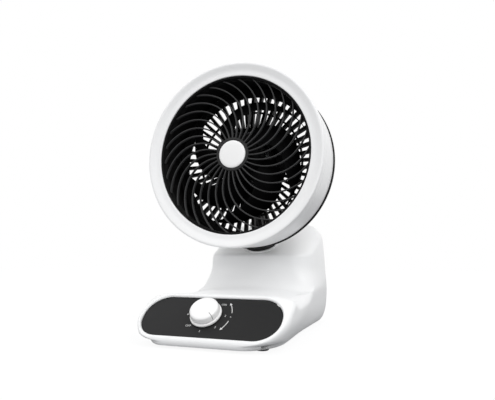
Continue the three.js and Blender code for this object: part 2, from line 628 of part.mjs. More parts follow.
const plateTop = PLATE_Z + PLATE_THICKNESS;
const bushOuter = NECK_SHAFT_RADIUS + RUN + BUSH_WALL;
const bushLow = PLATE_Z - 2;
const bushTop = plateTop + GAP + BUSH_FLANGE_THICKNESS;
const gearTop = bushLow - GAP;
const gearLow = gearTop - 7.7;
const pitchSector = (GEAR_MODULE * SECTOR_TEETH) / 2;
const pitchPinion = (GEAR_MODULE * PINION_TEETH) / 2;
const pinionY = NECK_Y + pitchSector + pitchPinion + 0.15;
const swingMotorTop = gearLow - 12;

/** Steel plate on the housing's posts that carries the neck and the swing motor. */
function makeSwingPlate() {
  const middle = (PLATE_FRONT + PLATE_REAR) / 2;
  const plate = slab(roundedRectangle(PLATE_HALF_WIDTH, (PLATE_REAR - PLATE_FRONT) / 2, 8), PLATE_Z, plateTop, 3)
    .translate(0, middle, 0);
  const neckHole = rod(bushOuter + GAP, PLATE_Z - 5, plateTop + 5).translate(0, NECK_Y, 0);
  const windows = [-34, 34].map((x) => slab(roundedRectangle(11, 16, 4), PLATE_Z - 5, plateTop + 5, 2)
    .translate(x, 82, 0));
  return plate.subtract(union(neckHole, ...windows));
}

function makeNeckBush() {
  const flange = tube(NECK_SHAFT_RADIUS + RUN, BUSH_FLANGE, plateTop + GAP, bushTop);
  return flange.add(tube(NECK_SHAFT_RADIUS + RUN, bushOuter, bushLow, plateTop + 1));
}

function makeThrustWasher() {
  return tube(NECK_SHAFT_RADIUS + RUN, BUSH_FLANGE - 1, bushTop + GAP, BALL_FLAT_Z - GAP);
}

function makeNeckShaft() {
  return tube(NECK_SHAFT_BORE, NECK_SHAFT_RADIUS, gearLow - 4, BALL_FLAT_Z + 9.5);
}

function makeGearClip() {
  return tube(NECK_SHAFT_RADIUS + GAP, NECK_SHAFT_RADIUS + 3, gearLow - 2, gearLow - GAP);
}

/** Points on one flank of an involute tooth: angle from the tooth's middle and radius. */
function toothFlank(teeth) {
  const pitch = (GEAR_MODULE * teeth) / 2;
  const baseRadius = pitch * Math.cos(20 * DEG);
  const tip = pitch + 0.95 * GEAR_MODULE;
  const halfAtPitch = Math.PI / (2 * teeth) - GEAR_BACKLASH / 2 / pitch;
  const unwind = (r) => {
    const t = Math.sqrt(Math.max(0, (r / baseRadius) ** 2 - 1));
    return t - Math.atan(t);
  };
  const start = Math.max(baseRadius, pitch - 1.1 * GEAR_MODULE);
  return Array.from({ length: 2 }, (_, i) => {
    const r = start + (tip - start) * i;
    return [halfAtPitch + unwind(pitch) - unwind(r), r];
  });
}

/** A toothed outline; count teeth are cut, the first one centred on startAngle (radians). */
function gearShape(teeth, count, startAngle) {
  const pitch = (GEAR_MODULE * teeth) / 2;
  const root = pitch - 1.3 * GEAR_MODULE;
  const flank = toothFlank(teeth);
  const step = (2 * Math.PI) / teeth;
  const at = (angle, r) => new THREE.Vector2(r * Math.cos(angle), r * Math.sin(angle));
  const points = [];
  for (let i = 0; i < count; i += 1) {
    const middle = startAngle + i * step;
    points.push(at(middle - flank[0][0] - 0.012, root));
    flank.forEach(([half, r]) => points.push(at(middle - half, r)));
    [...flank].reverse().forEach(([half, r]) => points.push(at(middle + half, r)));
    points.push(at(middle + flank[0][0] + 0.012, root));
  }
  return points;
}

/** Sector gear on the neck shaft, a tooth on its middle line towards the pinion. */
function makeSectorGear() {
  const step = (2 * Math.PI) / SECTOR_TEETH;
  const start = Math.PI / 2 - ((SECTOR_CUT_TEETH - 1) / 2) * step;
  const points = gearShape(SECTOR_TEETH, SECTOR_CUT_TEETH, start);
  points.push(new THREE.Vector2(-13, 0), new THREE.Vector2(0, -13), new THREE.Vector2(13, 0));
  const sector = slab(new THREE.Shape(points), gearLow, gearLow + GEAR_THICKNESS);
  const hub = rod(13, gearLow, gearTop);
  return sector.add(hub).subtract(rod(NECK_SHAFT_RADIUS + GAP, gearLow - 5, gearTop + 5));
}

/** Brass pinion on the swing motor's shaft, a gap on its middle line towards the sector. */
function makeSwingPinion() {
  const start = -Math.PI / 2 + Math.PI / PINION_TEETH;
  const points = gearShape(PINION_TEETH, PINION_TEETH, start);
  return slab(new THREE.Shape(points), gearLow - 0.5, gearLow + GEAR_THICKNESS + 0.5)
    .subtract(rod(SWING_SHAFT_RADIUS + GAP, 0, THROUGH, TINY));
}

function makeSwingShaft() {
  return rod(SWING_SHAFT_RADIUS, swingMotorTop - 6, gearLow + GEAR_THICKNESS + 2, TINY);
}

/** Flat synchronous motor with gearbox can and two ears. */
function makeSwingMotor() {
  const can = rod(SWING_MOTOR_RADIUS, swingMotorTop - SWING_MOTOR_HEIGHT, swingMotorTop - 1, MIDDLE);
  const ears = slab(roundedRectangle(STANDOFF_X + 4, 5, 5), swingMotorTop - 2, swingMotorTop, 3);
  const boss = rod(6, swingMotorTop - 3, swingMotorTop + 2.5);
  const shaftRoom = rod(SWING_SHAFT_RADIUS + RUN, swingMotorTop - 8, swingMotorTop + 5, TINY);
  return union(can, ears, boss).subtract(shaftRoom);
}

function makeStandoff() {
  return rod(STANDOFF_RADIUS, swingMotorTop + GAP, PLATE_Z - GAP, TINY);
}

/** Motor-run capacitor standing on the bottom cover. */
function makeCapacitor() {
  const floor = coverTop + GAP;
  const body = slab(roundedRectangle(19, 9, 1.5), floor, floor + 27, 2);
  const tab = slab(roundedRectangle(26, 4, 3), floor, floor + 1.6, 2);
  return body.add(tab);
}

/** Grommet in the cable inlet, its two flanges either side of the wall. */
function makeInlet() {
  const outside = GAP;
  const profile = [[3.4, -WALL - GAP - 2], [INLET_RADIUS + 1.8, -WALL - GAP - 2], [INLET_RADIUS + 1.8, -WALL - GAP],
    [INLET_RADIUS, -WALL - GAP], [INLET_RADIUS, outside], [INLET_RADIUS + 2, outside],
    [INLET_RADIUS + 2, outside + 0.8], [3.4, outside + 0.8], [3.4, -WALL - GAP - 2]];
  return moved(turned(profile, SMALL), shift(0, BASE_REAR, INLET_Z).multiply(turnX(-90)));
}

// ------------------------------------------------------------------ head
// Head pieces are turned about Z with their depth as height, then laid down so that depth
// runs to the rear.
const headFrame = shift(0, RING_Y, HEAD_Z).multiply(turnX(-90));
const laid = (body) => moved(body, headFrame);
const innerAt = (depth) => RING_RADIUS - DRUM_WALL
  + ((DRUM_REAR_RADIUS - RING_RADIUS) * depth) / DRUM_REAR;

/** White front ring: round outer lip, shallow dish and inner lip. */
function makeFrontRing() {
  const seam = RING_DEPTH;
  return laid(turned([
    [OPENING_RADIUS, GRILLE_DEPTH + 3], [OPENING_RADIUS, 1.2], [OPENING_RADIUS + 0.11 * RING_FACE_WIDTH, -1.4],
    [OPENING_RADIUS + 0.42 * RING_FACE_WIDTH, -1.6], [RING_RADIUS - 0.27 * RING_FACE_WIDTH, -4.1],
    [RING_RADIUS - 0.9, -2.4], [RING_RADIUS, 0.6],
    [innerAt(seam) + DRUM_WALL, seam], [innerAt(seam) - 2 * GAP, seam], [innerAt(seam) - 2 * GAP, seam + 4],
    [innerAt(seam) - 2.6, seam + 4], [innerAt(seam) - 2.6, 2], [OPENING_RADIUS + 2.4, 1.6],
    [OPENING_RADIUS, GRILLE_DEPTH + 3]], LARGE));
}

/** White drum between front ring and rear grille. */
function makeDrum() {
  const front = RING_DEPTH + GAP;
  return laid(turned([[innerAt(front), front], [innerAt(DRUM_REAR), DRUM_REAR],
    [innerAt(DRUM_REAR) + DRUM_WALL, DRUM_REAR], [innerAt(front) + DRUM_WALL, front],
    [innerAt(front), front]], LARGE));
}

/** Depth of the grille's front face at a radius: a shallow dome. */
const domeDepth = (radius) => GRILLE_DEPTH - GRILLE_DOME * (1 - (radius / OPENING_RADIUS) ** 2);

/** Angle of a rib at a radius, measured from its root. */
function ribAngle(radius) {
  const rim = OPENING_RADIUS - GRILLE_RIM_WIDTH / 2;
  const t = (radius - HUB_RING_RADIUS) / (rim - HUB_RING_RADIUS);
  return RIB_SWEEP * DEG * (0.25 * t + 0.75 * t * t);
}

/** One swept rib: a tall fin, its sharp edge forward, carried along the spiral over the dome. */
function makeRib() {
  const steps = 3;
  const from = HUB_RING_RADIUS - 1.2;
  const to = OPENING_RADIUS - GRILLE_RIM_WIDTH / 2;
  const sections = [];
  for (let i = 0; i <= steps; i += 1) {
    const r = from + ((to - from) * i) / steps;
    const angle = ribAngle(r);
    const ahead = ribAngle(r + 0.5);
    const along = new THREE.Vector2((r + 0.5) * Math.cos(ahead) - r * Math.cos(angle),
      (r + 0.5) * Math.sin(ahead) - r * Math.sin(angle)).normalize();
    const x = r * Math.cos(angle);
    const y = r * Math.sin(angle);
    const half = RIB_WIDTH / 2;
    const face = domeDepth(r);
    sections.push([
      [x, y, face],
      [x - along.y * half, y + along.x * half, face + RIB_HEIGHT],
      [x + along.y * half, y - along.x * half, face + RIB_HEIGHT],
    ]);
  }
  return stack(sections.map((ring) => ring.map(([x, y, z]) => [x, y, z])));
}

/** Black front grille: hub ring, swept ribs and rim. */
function makeFrontGrille() {
  const rimOuter = OPENING_RADIUS - GAP;
  const rim = tube(rimOuter - GRILLE_RIM_WIDTH, rimOuter, GRILLE_DEPTH - 0.6, GRILLE_DEPTH + RIB_HEIGHT, LARGE);
  const hubFace = domeDepth(HUB_RING_RADIUS) - 0.6;
  const hub = turned([[0, hubFace + 2.4], [HUB_CAP_RADIUS + GAP, hubFace + 2.4],
    [HUB_CAP_RADIUS + GAP, hubFace], [HUB_RING_RADIUS, hubFace], [HUB_RING_RADIUS, hubFace + RIB_HEIGHT + 1],
    [0, hubFace + RIB_HEIGHT + 1]], MIDDLE);
  const rib = makeRib();
  const ribs = Array.from({ length: RIB_COUNT }, (_, i) => rib.rotate([0, 0, RIB_PHASE + (360 * i) / RIB_COUNT]));
  return laid(union(rim, hub, ...ribs).mirror([0, 1, 0]));
}

/** White cap let into the grille's hub ring. */
function makeHubCap() {
  const back = domeDepth(HUB_RING_RADIUS) - 0.6 + 2.4 - GAP;
  const front = back - HUB_CAP_THICKNESS - 0.9;
  return laid(turned([[0, back], [HUB_CAP_RADIUS, back], [HUB_CAP_RADIUS, front + 1.4],
    [HUB_CAP_RADIUS - 1.6, front], [0, front - 0.5]], MIDDLE));
}

/** Black rear grille: rim round the drum's edge, rows of radial slots and the motor seat. */
function makeRearGrille() {
  const face = REAR_DISC_DEPTH;
  const back = face + REAR_DISC_THICKNESS;
  const rimFront = DRUM_REAR + GAP;
  const edge = innerAt(DRUM_REAR) - 4;
  const rim = turned([[edge - 2, face], [edge, rimFront - 6], [innerAt(DRUM_REAR) - GAP, rimFront - 6],
    [innerAt(DRUM_REAR) - GAP, rimFront], [REAR_RIM_RADIUS, rimFront], [REAR_RIM_RADIUS, REAR_RIM_DEPTH - 3],
    [REAR_RIM_RADIUS - 3, REAR_RIM_DEPTH], [edge - 2, back], [edge - 2, face]], LARGE);
  const disc = new THREE.Shape().absarc(0, 0, edge - 1, 0, 2 * Math.PI);
  disc.holes.push(new THREE.Path().absarc(0, 0, MOTOR_RADIUS + RUN, 0, 2 * Math.PI));
  for (let row = 0; row < 2; row += 1) {
    const from = SLOT_RINGS[row] + SLOT_RING_WIDTH;
    const to = SLOT_RINGS[row + 1];
    for (let i = 0; i < SLOT_BARS; i += 1) {
      const angle = (2 * Math.PI * (i + 0.5)) / SLOT_BARS;
      const half = (radius) => Math.PI / SLOT_BARS - BAR_WIDTH / 2 / radius;
      const corners = [[from, -half(from)], [to, -half(to)], [to, half(to)], [from, half(from)]];
      disc.holes.push(new THREE.Path(corners.map(([r, a]) =>
        new THREE.Vector2(r * Math.cos(angle + a), r * Math.sin(angle + a)))));
    }
  }
  const screwHole = rod(SCREW_RADIUS + GAP, 0, THROUGH, TINY).translate(motorEarRadius, 0, 0);
  const screwHoles = motorScrewAngles.map((angle) => screwHole.rotate([0, 0, -angle]));
  return laid(rim.add(slab(disc, face, back, MIDDLE)).subtract(union(...screwHoles)));
}

/** One blade: a thin sheet over radius and sweep angle, rising along the axis. */
function makeBlade() {
  const radii = 3;
  const chords = 4;
  const grid = (side) => {
    const points = [];
    for (let i = 0; i <= radii; i += 1) {
      const t = i / radii;
      const r = IMPELLER_HUB_RADIUS - 1.5 + (BLADE_TIP_RADIUS - IMPELLER_HUB_RADIUS + 1.5) * t;
      const span = BLADE_CHORD_ANGLE * (1 - 0.12 * t) * DEG;
      const lead = 26 * DEG * t * t;
      const rise = BLADE_TWIST_DEPTH * (1 - 0.28 * t);
      for (let j = 0; j <= chords; j += 1) {
        const s = j / chords;
        const angle = lead + span * (s - 0.5);
        const camber = 3.5 * Math.sin(Math.PI * s);
        const depth = IMPELLER_FRONT + 1.5 + (BLADE_TWIST_DEPTH - rise) / 2 + rise * s - camber * 0.6;
        points.push([r * Math.cos(angle), r * Math.sin(angle), depth + side * BLADE_THICKNESS / 2]);
      }
    }
    return points;
  };
  const points = [...grid(-1), ...grid(1)];
  const columns = chords + 1;
  const layer = (radii + 1) * columns;
  const faces = [];
  const quad = (a, b, c, d) => faces.push(a, b, c, a, c, d);
  for (let i = 0; i < radii; i += 1) {
    for (let j = 0; j < chords; j += 1) {
      const a = i * columns + j;
      quad(a, a + 1, a + columns + 1, a + columns);
      quad(layer + a, layer + a + columns, layer + a + columns + 1, layer + a + 1);
    }
  }
  for (let i = 0; i < radii; i += 1) {
    const a = i * columns;
    quad(a, a + columns, layer + a + columns, layer + a);
    const b = a + chords;
    quad(b, layer + b, layer + b + columns, b + columns);
  }
  for (let j = 0; j < chords; j += 1) {
    quad(j, layer + j, layer + j + 1, j + 1);
    const e = radii * columns + j;
    quad(e, e + 1, layer + e + 1, layer + e);
  }
  const geometry = new THREE.BufferGeometry();
  geometry.setAttribute('position', new THREE.Float32BufferAttribute(points.flat(), 3));
  geometry.setIndex(faces);
  return solid(geometry);
}

const impellerBack = IMPELLER_FRONT + IMPELLER_HUB_DEPTH;
const BLADE_PHASE = 20;              // degrees, where the impeller stands at rest

/** Impeller: a cup-shaped hub with its blades and a boss on the motor shaft. */
function makeImpeller() {
  const hub = turned([[0, IMPELLER_FRONT], [IMPELLER_HUB_RADIUS - 6, IMPELLER_FRONT],
    [IMPELLER_HUB_RADIUS - 1.5, IMPELLER_FRONT + 2.4], [IMPELLER_HUB_RADIUS, IMPELLER_FRONT + 7],
    [IMPELLER_HUB_RADIUS, impellerBack], [IMPELLER_HUB_RADIUS - 2, impellerBack],
    [IMPELLER_HUB_RADIUS - 2, IMPELLER_FRONT + 7], [IMPELLER_HUB_RADIUS - 6, IMPELLER_FRONT + 2.2],
    [9, IMPELLER_FRONT + 2.2], [9, impellerBack - 4], [0, impellerBack - 4]], MIDDLE);
  const blade = makeBlade();
  const inside = rod(IMPELLER_HUB_RADIUS - 1, 0, 100, MIDDLE);
  const blades = Array.from({ length: BLADE_COUNT }, (_, i) => blade
    .rotate([0, 0, BLADE_PHASE + (360 * i) / BLADE_COUNT]).subtract(inside));
  const bore = rod(MOTOR_SHAFT_RADIUS + GAP, 0, 100, 12);
  return laid(union(hub, ...blades).subtract(bore));
}

function makeImpellerNut() {
  const low = IMPELLER_FRONT - GAP;
  return laid(turned([[MOTOR_SHAFT_RADIUS + GAP, low], [MOTOR_SHAFT_RADIUS + GAP, low - 2.6], [0, low - 2.6],
    [0, low - 4.4], [5, low - 4.2], [9, low - 2.8], [11, low - 1], [11, low], [MOTOR_SHAFT_RADIUS + GAP, low]],
  12));
}

const motorBack = MOTOR_FRONT + MOTOR_FRONT_LENGTH + STATOR_LENGTH + MOTOR_REAR_LENGTH + 2 * GAP;
const statorFront = MOTOR_FRONT + MOTOR_FRONT_LENGTH + GAP;
const statorBack = statorFront + STATOR_LENGTH;

/** Turned end bell of the motor, open towards the stator, with a bearing boss. */
function motorBell(closed, open) {
  const s = Math.sign(open - closed);
  const boss = closed + s * (BEARING_LENGTH + GAP);
  const points = [[BEARING_RADIUS + GAP, closed + s * MOTOR_WALL / 2], [BEARING_RADIUS + GAP, boss],
    [BEARING_RADIUS + 2.5, boss], [BEARING_RADIUS + 2.5, closed + s * MOTOR_WALL],
    [MOTOR_RADIUS - MOTOR_WALL, closed + s * MOTOR_WALL], [MOTOR_RADIUS - MOTOR_WALL, open],
    [MOTOR_RADIUS, open], [MOTOR_RADIUS, closed + s * 3.5],
    [MOTOR_RADIUS - 3.5, closed], [MOTOR_SHAFT_RADIUS + 1, closed],
    [MOTOR_SHAFT_RADIUS + 1, closed + s * MOTOR_WALL / 2], [BEARING_RADIUS + GAP, closed + s * MOTOR_WALL / 2]];
  return turned(points, MOTOR_SIDES);
}

const motorScrewAngles = [90, 210, 330];
const motorEarRadius = MOTOR_RADIUS + 6;

/** Front bell with three ears that bear on the rear grille's motor seat. */
function makeMotorFront() {
  const bell = motorBell(MOTOR_FRONT, MOTOR_FRONT + MOTOR_FRONT_LENGTH);
  const earBack = REAR_DISC_DEPTH - GAP;
  const ear = box(MOTOR_RADIUS - 1.5, -5, earBack - 3, motorEarRadius + 4, 5, earBack)
    .add(box(MOTOR_RADIUS - 1.5, -5, statorFront - GAP - 6, MOTOR_RADIUS + 2.2, 5, earBack));
  const inside = rod(MOTOR_RADIUS - 1, 0, THROUGH, MOTOR_SIDES);
  const hole = rod(SCREW_RADIUS + GAP, 0, THROUGH, TINY).translate(motorEarRadius, 0, 0);
  const ears = motorScrewAngles.map((a) => ear.subtract(union(inside, hole)).rotate([0, 0, -a]));
  const rest = rod(MOTOR_RADIUS + GAP, statorFront - GAP, THROUGH, MIDDLE);
  return laid(union(bell, ...ears).subtract(rest));
}

function makeMotorRear() {
  return laid(motorBell(motorBack, statorBack + GAP));
}

/** Stator: a laminated ring with a winding on each side. */
function makeStator() {
  const coilFront = statorFront - 6;
  const coilBack = statorBack + 5;
  const coilOuter = MOTOR_RADIUS - MOTOR_WALL - 2;
  return laid(turned([[ROTOR_RADIUS + RUN, coilFront], [coilOuter, coilFront], [coilOuter, statorFront],
    [MOTOR_RADIUS - 0.6, statorFront], [MOTOR_RADIUS - 0.6, statorBack], [coilOuter, statorBack],
    [coilOuter, coilBack], [ROTOR_RADIUS + RUN, coilBack], [ROTOR_RADIUS + RUN, coilFront]], MOTOR_SIDES));
}

function makeRotor() {
  return laid(tube(MOTOR_SHAFT_RADIUS + GAP, ROTOR_RADIUS, statorFront - 1, statorBack + 1));
}

function makeMotorShaft() {
  return laid(rod(MOTOR_SHAFT_RADIUS, IMPELLER_FRONT - 2.6, motorBack - 3, 12));
}

function makeBearing(front) {
  return laid(tube(MOTOR_SHAFT_RADIUS + GAP, BEARING_RADIUS, front, front + BEARING_LENGTH - GAP));
}

/** Screw through an ear of the motor into the seat ring. */
function makeMotorScrew(angle) {
  const start = REAR_DISC_DEPTH - GAP - 3 - 0.9 - GAP;
  return laid(makeScrew(6.6).translate(motorEarRadius, 0, start).rotate([0, 0, -angle]));
}

const coverFront = REAR_DISC_DEPTH + REAR_DISC_THICKNESS + GAP;
const coverBack = coverFront + COVER_DEPTH;

/** Black dome over the motor's rear, with cooling slots round its side. */
function makeMotorCover() {
  const dome = turned([[COVER_RADIUS - COVER_WALL, coverFront], [COVER_RADIUS + 3, coverFront],
    [COVER_RADIUS + 3, coverFront + 2], [COVER_RADIUS, coverFront + 3], [COVER_RADIUS - 2, coverBack - 9],
    [COVER_RADIUS - 6, coverBack - 3], [COVER_RADIUS - 12, coverBack], [0, coverBack],
    [0, coverBack - COVER_WALL], [COVER_RADIUS - 11, coverBack - COVER_WALL],
    [COVER_RADIUS - 4.4, coverBack - 10], [COVER_RADIUS - COVER_WALL, coverFront]], MIDDLE);
  const slot = box(COVER_RADIUS - 10, -1.2, coverFront + 6, COVER_RADIUS + 5, 1.2, coverBack - 11);
  const slots = [];
  for (let angle = 36; angle <= 144; angle += 18) slots.push(slot.rotate([0, 0, -angle]));
  return laid(dome.subtract(union(...slots)));
}

/** Black arm from the motor cover down to the tilt hinge. */
function makeTiltArm() {
  const top = HEAD_Z - COVER_RADIUS;
  const side = new THREE.Shape();
  const back = RING_Y + coverBack - 4;
  const front = RING_Y + coverFront + 4;
  side.moveTo(HINGE_Y, HINGE_Z - 7);
  side.absarc(HINGE_Y, HINGE_Z, 7.5, -75 * DEG, 60 * DEG);
  side.bezierCurveTo(HINGE_Y - 4, HINGE_Z + 24, back + 6, top - 14, back, top + 16);
  side.lineTo(back - 12, top + 16);
  side.lineTo(front, top + 8);
  side.bezierCurveTo(front + 4, top - 14, HINGE_Y - 16, HINGE_Z + 12, HINGE_Y - 7, HINGE_Z - 3);
  side.closePath();
  const blade = (half) => moved(slab(side, -half, half, 6), new THREE.Matrix4().set(
    0, 0, 1, 0, 1, 0, 0, 0, 0, 1, 0, 0, 0, 0, 0, 1));
  const tongue = blade(TONGUE_HALF_WIDTH);
  const broad = blade(15).intersect(box(-THROUGH, -THROUGH, HINGE_Z + CHEEK_RADIUS + 4, THROUGH, THROUGH, THROUGH));
  const coverRoom = laid(rod(COVER_RADIUS + 3 + GAP, 0, coverFront + 3 + GAP, MIDDLE)
    .add(turned([[0, coverFront], [COVER_RADIUS + GAP, coverFront + 3], [COVER_RADIUS - 2 + GAP, coverBack - 9],
      [COVER_RADIUS - 6 + GAP, coverBack - 3 + GAP], [COVER_RADIUS - 12 + GAP, coverBack + GAP],
      [0, coverBack + GAP]], MIDDLE)));
  const boltHole = moved(rod(TILT_BOLT_RADIUS + RUN, -30, 30, 12),
    shift(0, HINGE_Y, HINGE_Z).multiply(new THREE.Matrix4().makeRotationY(Math.PI / 2)));
  return union(tongue, broad).subtract(union(coverRoom, boltHole));
}

const cheekOuter = TONGUE_HALF_WIDTH + WASHER_THICKNESS + 2 * GAP + CHEEK_THICKNESS;
const hingeFrame = shift(0, HINGE_Y - NECK_Y, HINGE_Z).multiply(new THREE.Matrix4().makeRotationY(Math.PI / 2));

function makeTiltBolt() {
  const head = rod(5.2, cheekOuter + GAP, cheekOuter + GAP + 3.4, 6);
  return moved(head.add(rod(TILT_BOLT_RADIUS, -cheekOuter - 5, cheekOuter + 2, 12)), hingeFrame);
}

function makeTiltNut() {
  return moved(rod(5.2, -cheekOuter - GAP - 4, -cheekOuter - GAP, 6)
    .subtract(rod(TILT_BOLT_RADIUS + GAP, -50, 50, 12)), hingeFrame);
}

function makeTiltWasher(side) {
  const low = TONGUE_HALF_WIDTH + GAP;
  const washer = tube(TILT_BOLT_RADIUS + GAP, CHEEK_RADIUS - 1.5, low, low + WASHER_THICKNESS, 12);
  return moved(side > 0 ? washer : washer.mirror([0, 0, 1]), hingeFrame);
}

// ------------------------------------------------------------------ assembly
const fan = new THREE.Group();

addPiece(fan, 'base_housing', makeHousing(), whiteGloss);
addPiece(fan, 'bottom_cover', makeBottomCover(), black);
for (const [name, x, y] of footPlaces) {
  addPiece(fan, name, makeFoot(), rubber).position.set(x, y, 0);
}
coverScrewPlaces.forEach(([x, y], i) => {
  addPiece(fan, `cover_screw_${i + 1}`, makeScrew(SCREW_REACH), steel).position.set(x, y, BASE_UNDERSIDE + GAP);
});
addPiece(fan, 'cord_inlet', makeInlet(), rubber);
addPiece(fan, 'run_capacitor', makeCapacitor(), charcoal).position.set(0, -20, 0);

const controls = new THREE.Group();
controls.position.set(0, PANEL_Y, PANEL_Z);
controls.rotation.x = PANEL_ANGLE * DEG;
fan.add(controls);
addPiece(controls, 'control_panel', makePanel(), charcoal);
const dial = new THREE.Group();
dial.position.set(KNOB_ACROSS, KNOB_ALONG, 0);
controls.add(dial);
addPiece(dial, 'switch_body', makeSwitch(), black);
addPiece(dial, 'switch_nut', makeSwitchNut(), steel);
addPiece(dial, 'switch_shaft', makeSwitchShaft(), brass);
const knobTurn = new THREE.Group();
knobTurn.rotation.z = 38 * DEG;
dial.add(knobTurn);
addPiece(knobTurn, 'knob', makeKnob(), whiteGloss);
addPiece(knobTurn, 'knob_pointer', makePointer(), greyInk);

addPiece(fan, 'neck_collar', makeCollar(), whiteGloss);
addPiece(fan, 'swing_plate', makeSwingPlate(), steel);
const neck = new THREE.Group();
neck.position.y = NECK_Y;
fan.add(neck);
addPiece(neck, 'neck_bush', makeNeckBush(), acetal);
addPiece(neck, 'thrust_washer', makeThrustWasher(), acetal);
addPiece(neck, 'swivel_neck', makeSwivelNeck(), black);
addPiece(neck, 'neck_shaft', makeNeckShaft(), steel);
addPiece(neck, 'sector_gear', makeSectorGear(), acetal);
addPiece(neck, 'gear_clip', makeGearClip(), steel);
addPiece(neck, 'tilt_bolt', makeTiltBolt(), steel);
addPiece(neck, 'tilt_nut', makeTiltNut(), steel);
addPiece(neck, 'tilt_washer_left', makeTiltWasher(-1), acetal);
addPiece(neck, 'tilt_washer_right', makeTiltWasher(1), acetal);

const swingDrive = new THREE.Group();
swingDrive.position.y = pinionY;
fan.add(swingDrive);
addPiece(swingDrive, 'swing_motor', makeSwingMotor(), aluminium);
addPiece(swingDrive, 'swing_shaft', makeSwingShaft(), steel);
addPiece(swingDrive, 'swing_pinion', makeSwingPinion(), brass);
addPiece(swingDrive, 'motor_standoff_left', makeStandoff(), steel).position.x = -STANDOFF_X;
addPiece(swingDrive, 'motor_standoff_right', makeStandoff(), steel).position.x = STANDOFF_X;

addPiece(fan, 'front_ring', makeFrontRing(), whiteGloss);
addPiece(fan, 'front_grille', makeFrontGrille(), grilleBlack);
addPiece(fan, 'hub_cap', makeHubCap(), whiteGloss);
addPiece(fan, 'drum_shell', makeDrum(), whiteGloss);
addPiece(fan, 'rear_grille', makeRearGrille(), black);
addPiece(fan, 'impeller', makeImpeller(), black);
addPiece(fan, 'impeller_nut', makeImpellerNut(), black);
addPiece(fan, 'motor_shaft', makeMotorShaft(), steel);
addPiece(fan, 'rotor', makeRotor(), steel);
addPiece(fan, 'motor_front_bell', makeMotorFront(), aluminium);
addPiece(fan, 'motor_rear_bell', makeMotorRear(), aluminium);
addPiece(fan, 'stator', makeStator(), brass);
addPiece(fan, 'front_bearing', makeBearing(MOTOR_FRONT + MOTOR_WALL / 2 + GAP), steel);
addPiece(fan, 'rear_bearing', makeBearing(motorBack - MOTOR_WALL / 2 - BEARING_LENGTH), steel);
motorScrewAngles.forEach((angle, i) => addPiece(fan, `motor_screw_${i + 1}`, makeMotorScrew(angle), steel));
addPiece(fan, 'motor_cover', makeMotorCover(), black);
addPiece(fan, 'tilt_arm', makeTiltArm(), black);

export default fan;
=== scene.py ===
"""Looks of the air circulator fan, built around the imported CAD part.

Lengths in the classes are millimetres in the part's frame: +Z up, the fan blows towards -Y and the
origin is on the table under the middle of the fan.  Meshes are written to Blender in metres.
"""

import logging
import math
from dataclasses import dataclass, field
from enum import Enum

import bpy
import numpy as np
from mathutils import Matrix, Vector


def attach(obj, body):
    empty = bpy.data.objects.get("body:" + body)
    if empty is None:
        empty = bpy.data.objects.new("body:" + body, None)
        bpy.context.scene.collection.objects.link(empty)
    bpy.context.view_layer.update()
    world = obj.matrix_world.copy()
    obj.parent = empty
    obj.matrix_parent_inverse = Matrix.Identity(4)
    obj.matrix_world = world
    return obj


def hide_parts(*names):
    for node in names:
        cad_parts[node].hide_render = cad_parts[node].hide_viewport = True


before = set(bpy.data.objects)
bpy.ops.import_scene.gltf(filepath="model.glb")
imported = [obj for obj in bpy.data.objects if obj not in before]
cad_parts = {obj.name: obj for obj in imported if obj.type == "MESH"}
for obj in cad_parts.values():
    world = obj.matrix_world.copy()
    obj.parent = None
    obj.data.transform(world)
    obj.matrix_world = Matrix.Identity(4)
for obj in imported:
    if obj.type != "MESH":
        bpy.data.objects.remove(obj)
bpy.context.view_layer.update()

LOG = logging.getLogger("fan")
MM = 0.001
PLAIN_WHITE = (1.0, 1.0, 1.0, 1.0)
DUST_COLOUR = (0.45, 0.45, 0.44, 1.0)
COAT_ROUGHNESS = 0.08

Span = tuple[float, float]
Form = tuple[np.ndarray, list[np.ndarray]]
Corners = list[tuple[float, float, float]]
Groups = dict[str, bpy.types.NodeTree]


class Body(Enum):
    """The moving bodies that a piece can ride on."""

    BASE = "base"
    DIAL = "dial"
    NECK = "neck"
    HEAD = "head"
    FAN = "fan"


class Slot(Enum):
    """Material slots of the record."""

    WHITE = "white_gloss"
    CHARCOAL = "charcoal_panel"
    BLACK = "black_plastic"
    GRILLE = "grille_plastic"
    RUBBER = "black_rubber"
    STEEL = "steel"
    ALUMINIUM = "motor_aluminium"
    BRASS = "pinion_brass"
    COPPER = "winding_copper"
    ACETAL = "acetal"
    PRINT = "grey_print"


# ---------------------------------------------------------------- forms


def ease(value: np.ndarray | float, start: float, end: float) -> np.ndarray:
    """Smooth step: 3t^2 - 2t^3 of t, which runs from 0 at start to 1 at end.

    Args:
        value: Numbers to look up.
        start: Where the step begins.
        end: Where it ends.

    Returns:
        The step's height at each number.
    """
    t = np.clip((np.asarray(value, float) - start) / (end - start), 0.0, 1.0)
    return t * t * (3.0 - 2.0 * t)


def grid_faces(rows: int, columns: int, wrap_rows: bool = False, wrap_columns: bool = False) -> np.ndarray:
    """Quads of a grid whose point (i, j) has the number i * columns + j.

    Args:
        rows: Number of rows of points.
        columns: Number of points in a row.
        wrap_rows: Joins the last row to the first.
        wrap_columns: Joins the last column to the first.

    Returns:
        An array of quads, turning from column to row.
    """
    i = np.arange(rows if wrap_rows else rows - 1)[:, None]
    j = np.arange(columns if wrap_columns else columns - 1)[None, :]
    this_row, next_row = i * columns, ((i + 1) % rows) * columns
    quads = [this_row + j, this_row + (j + 1) % columns, next_row + (j + 1) % columns, next_row + j]
    return np.stack(quads, axis=-1).reshape(-1, 4)


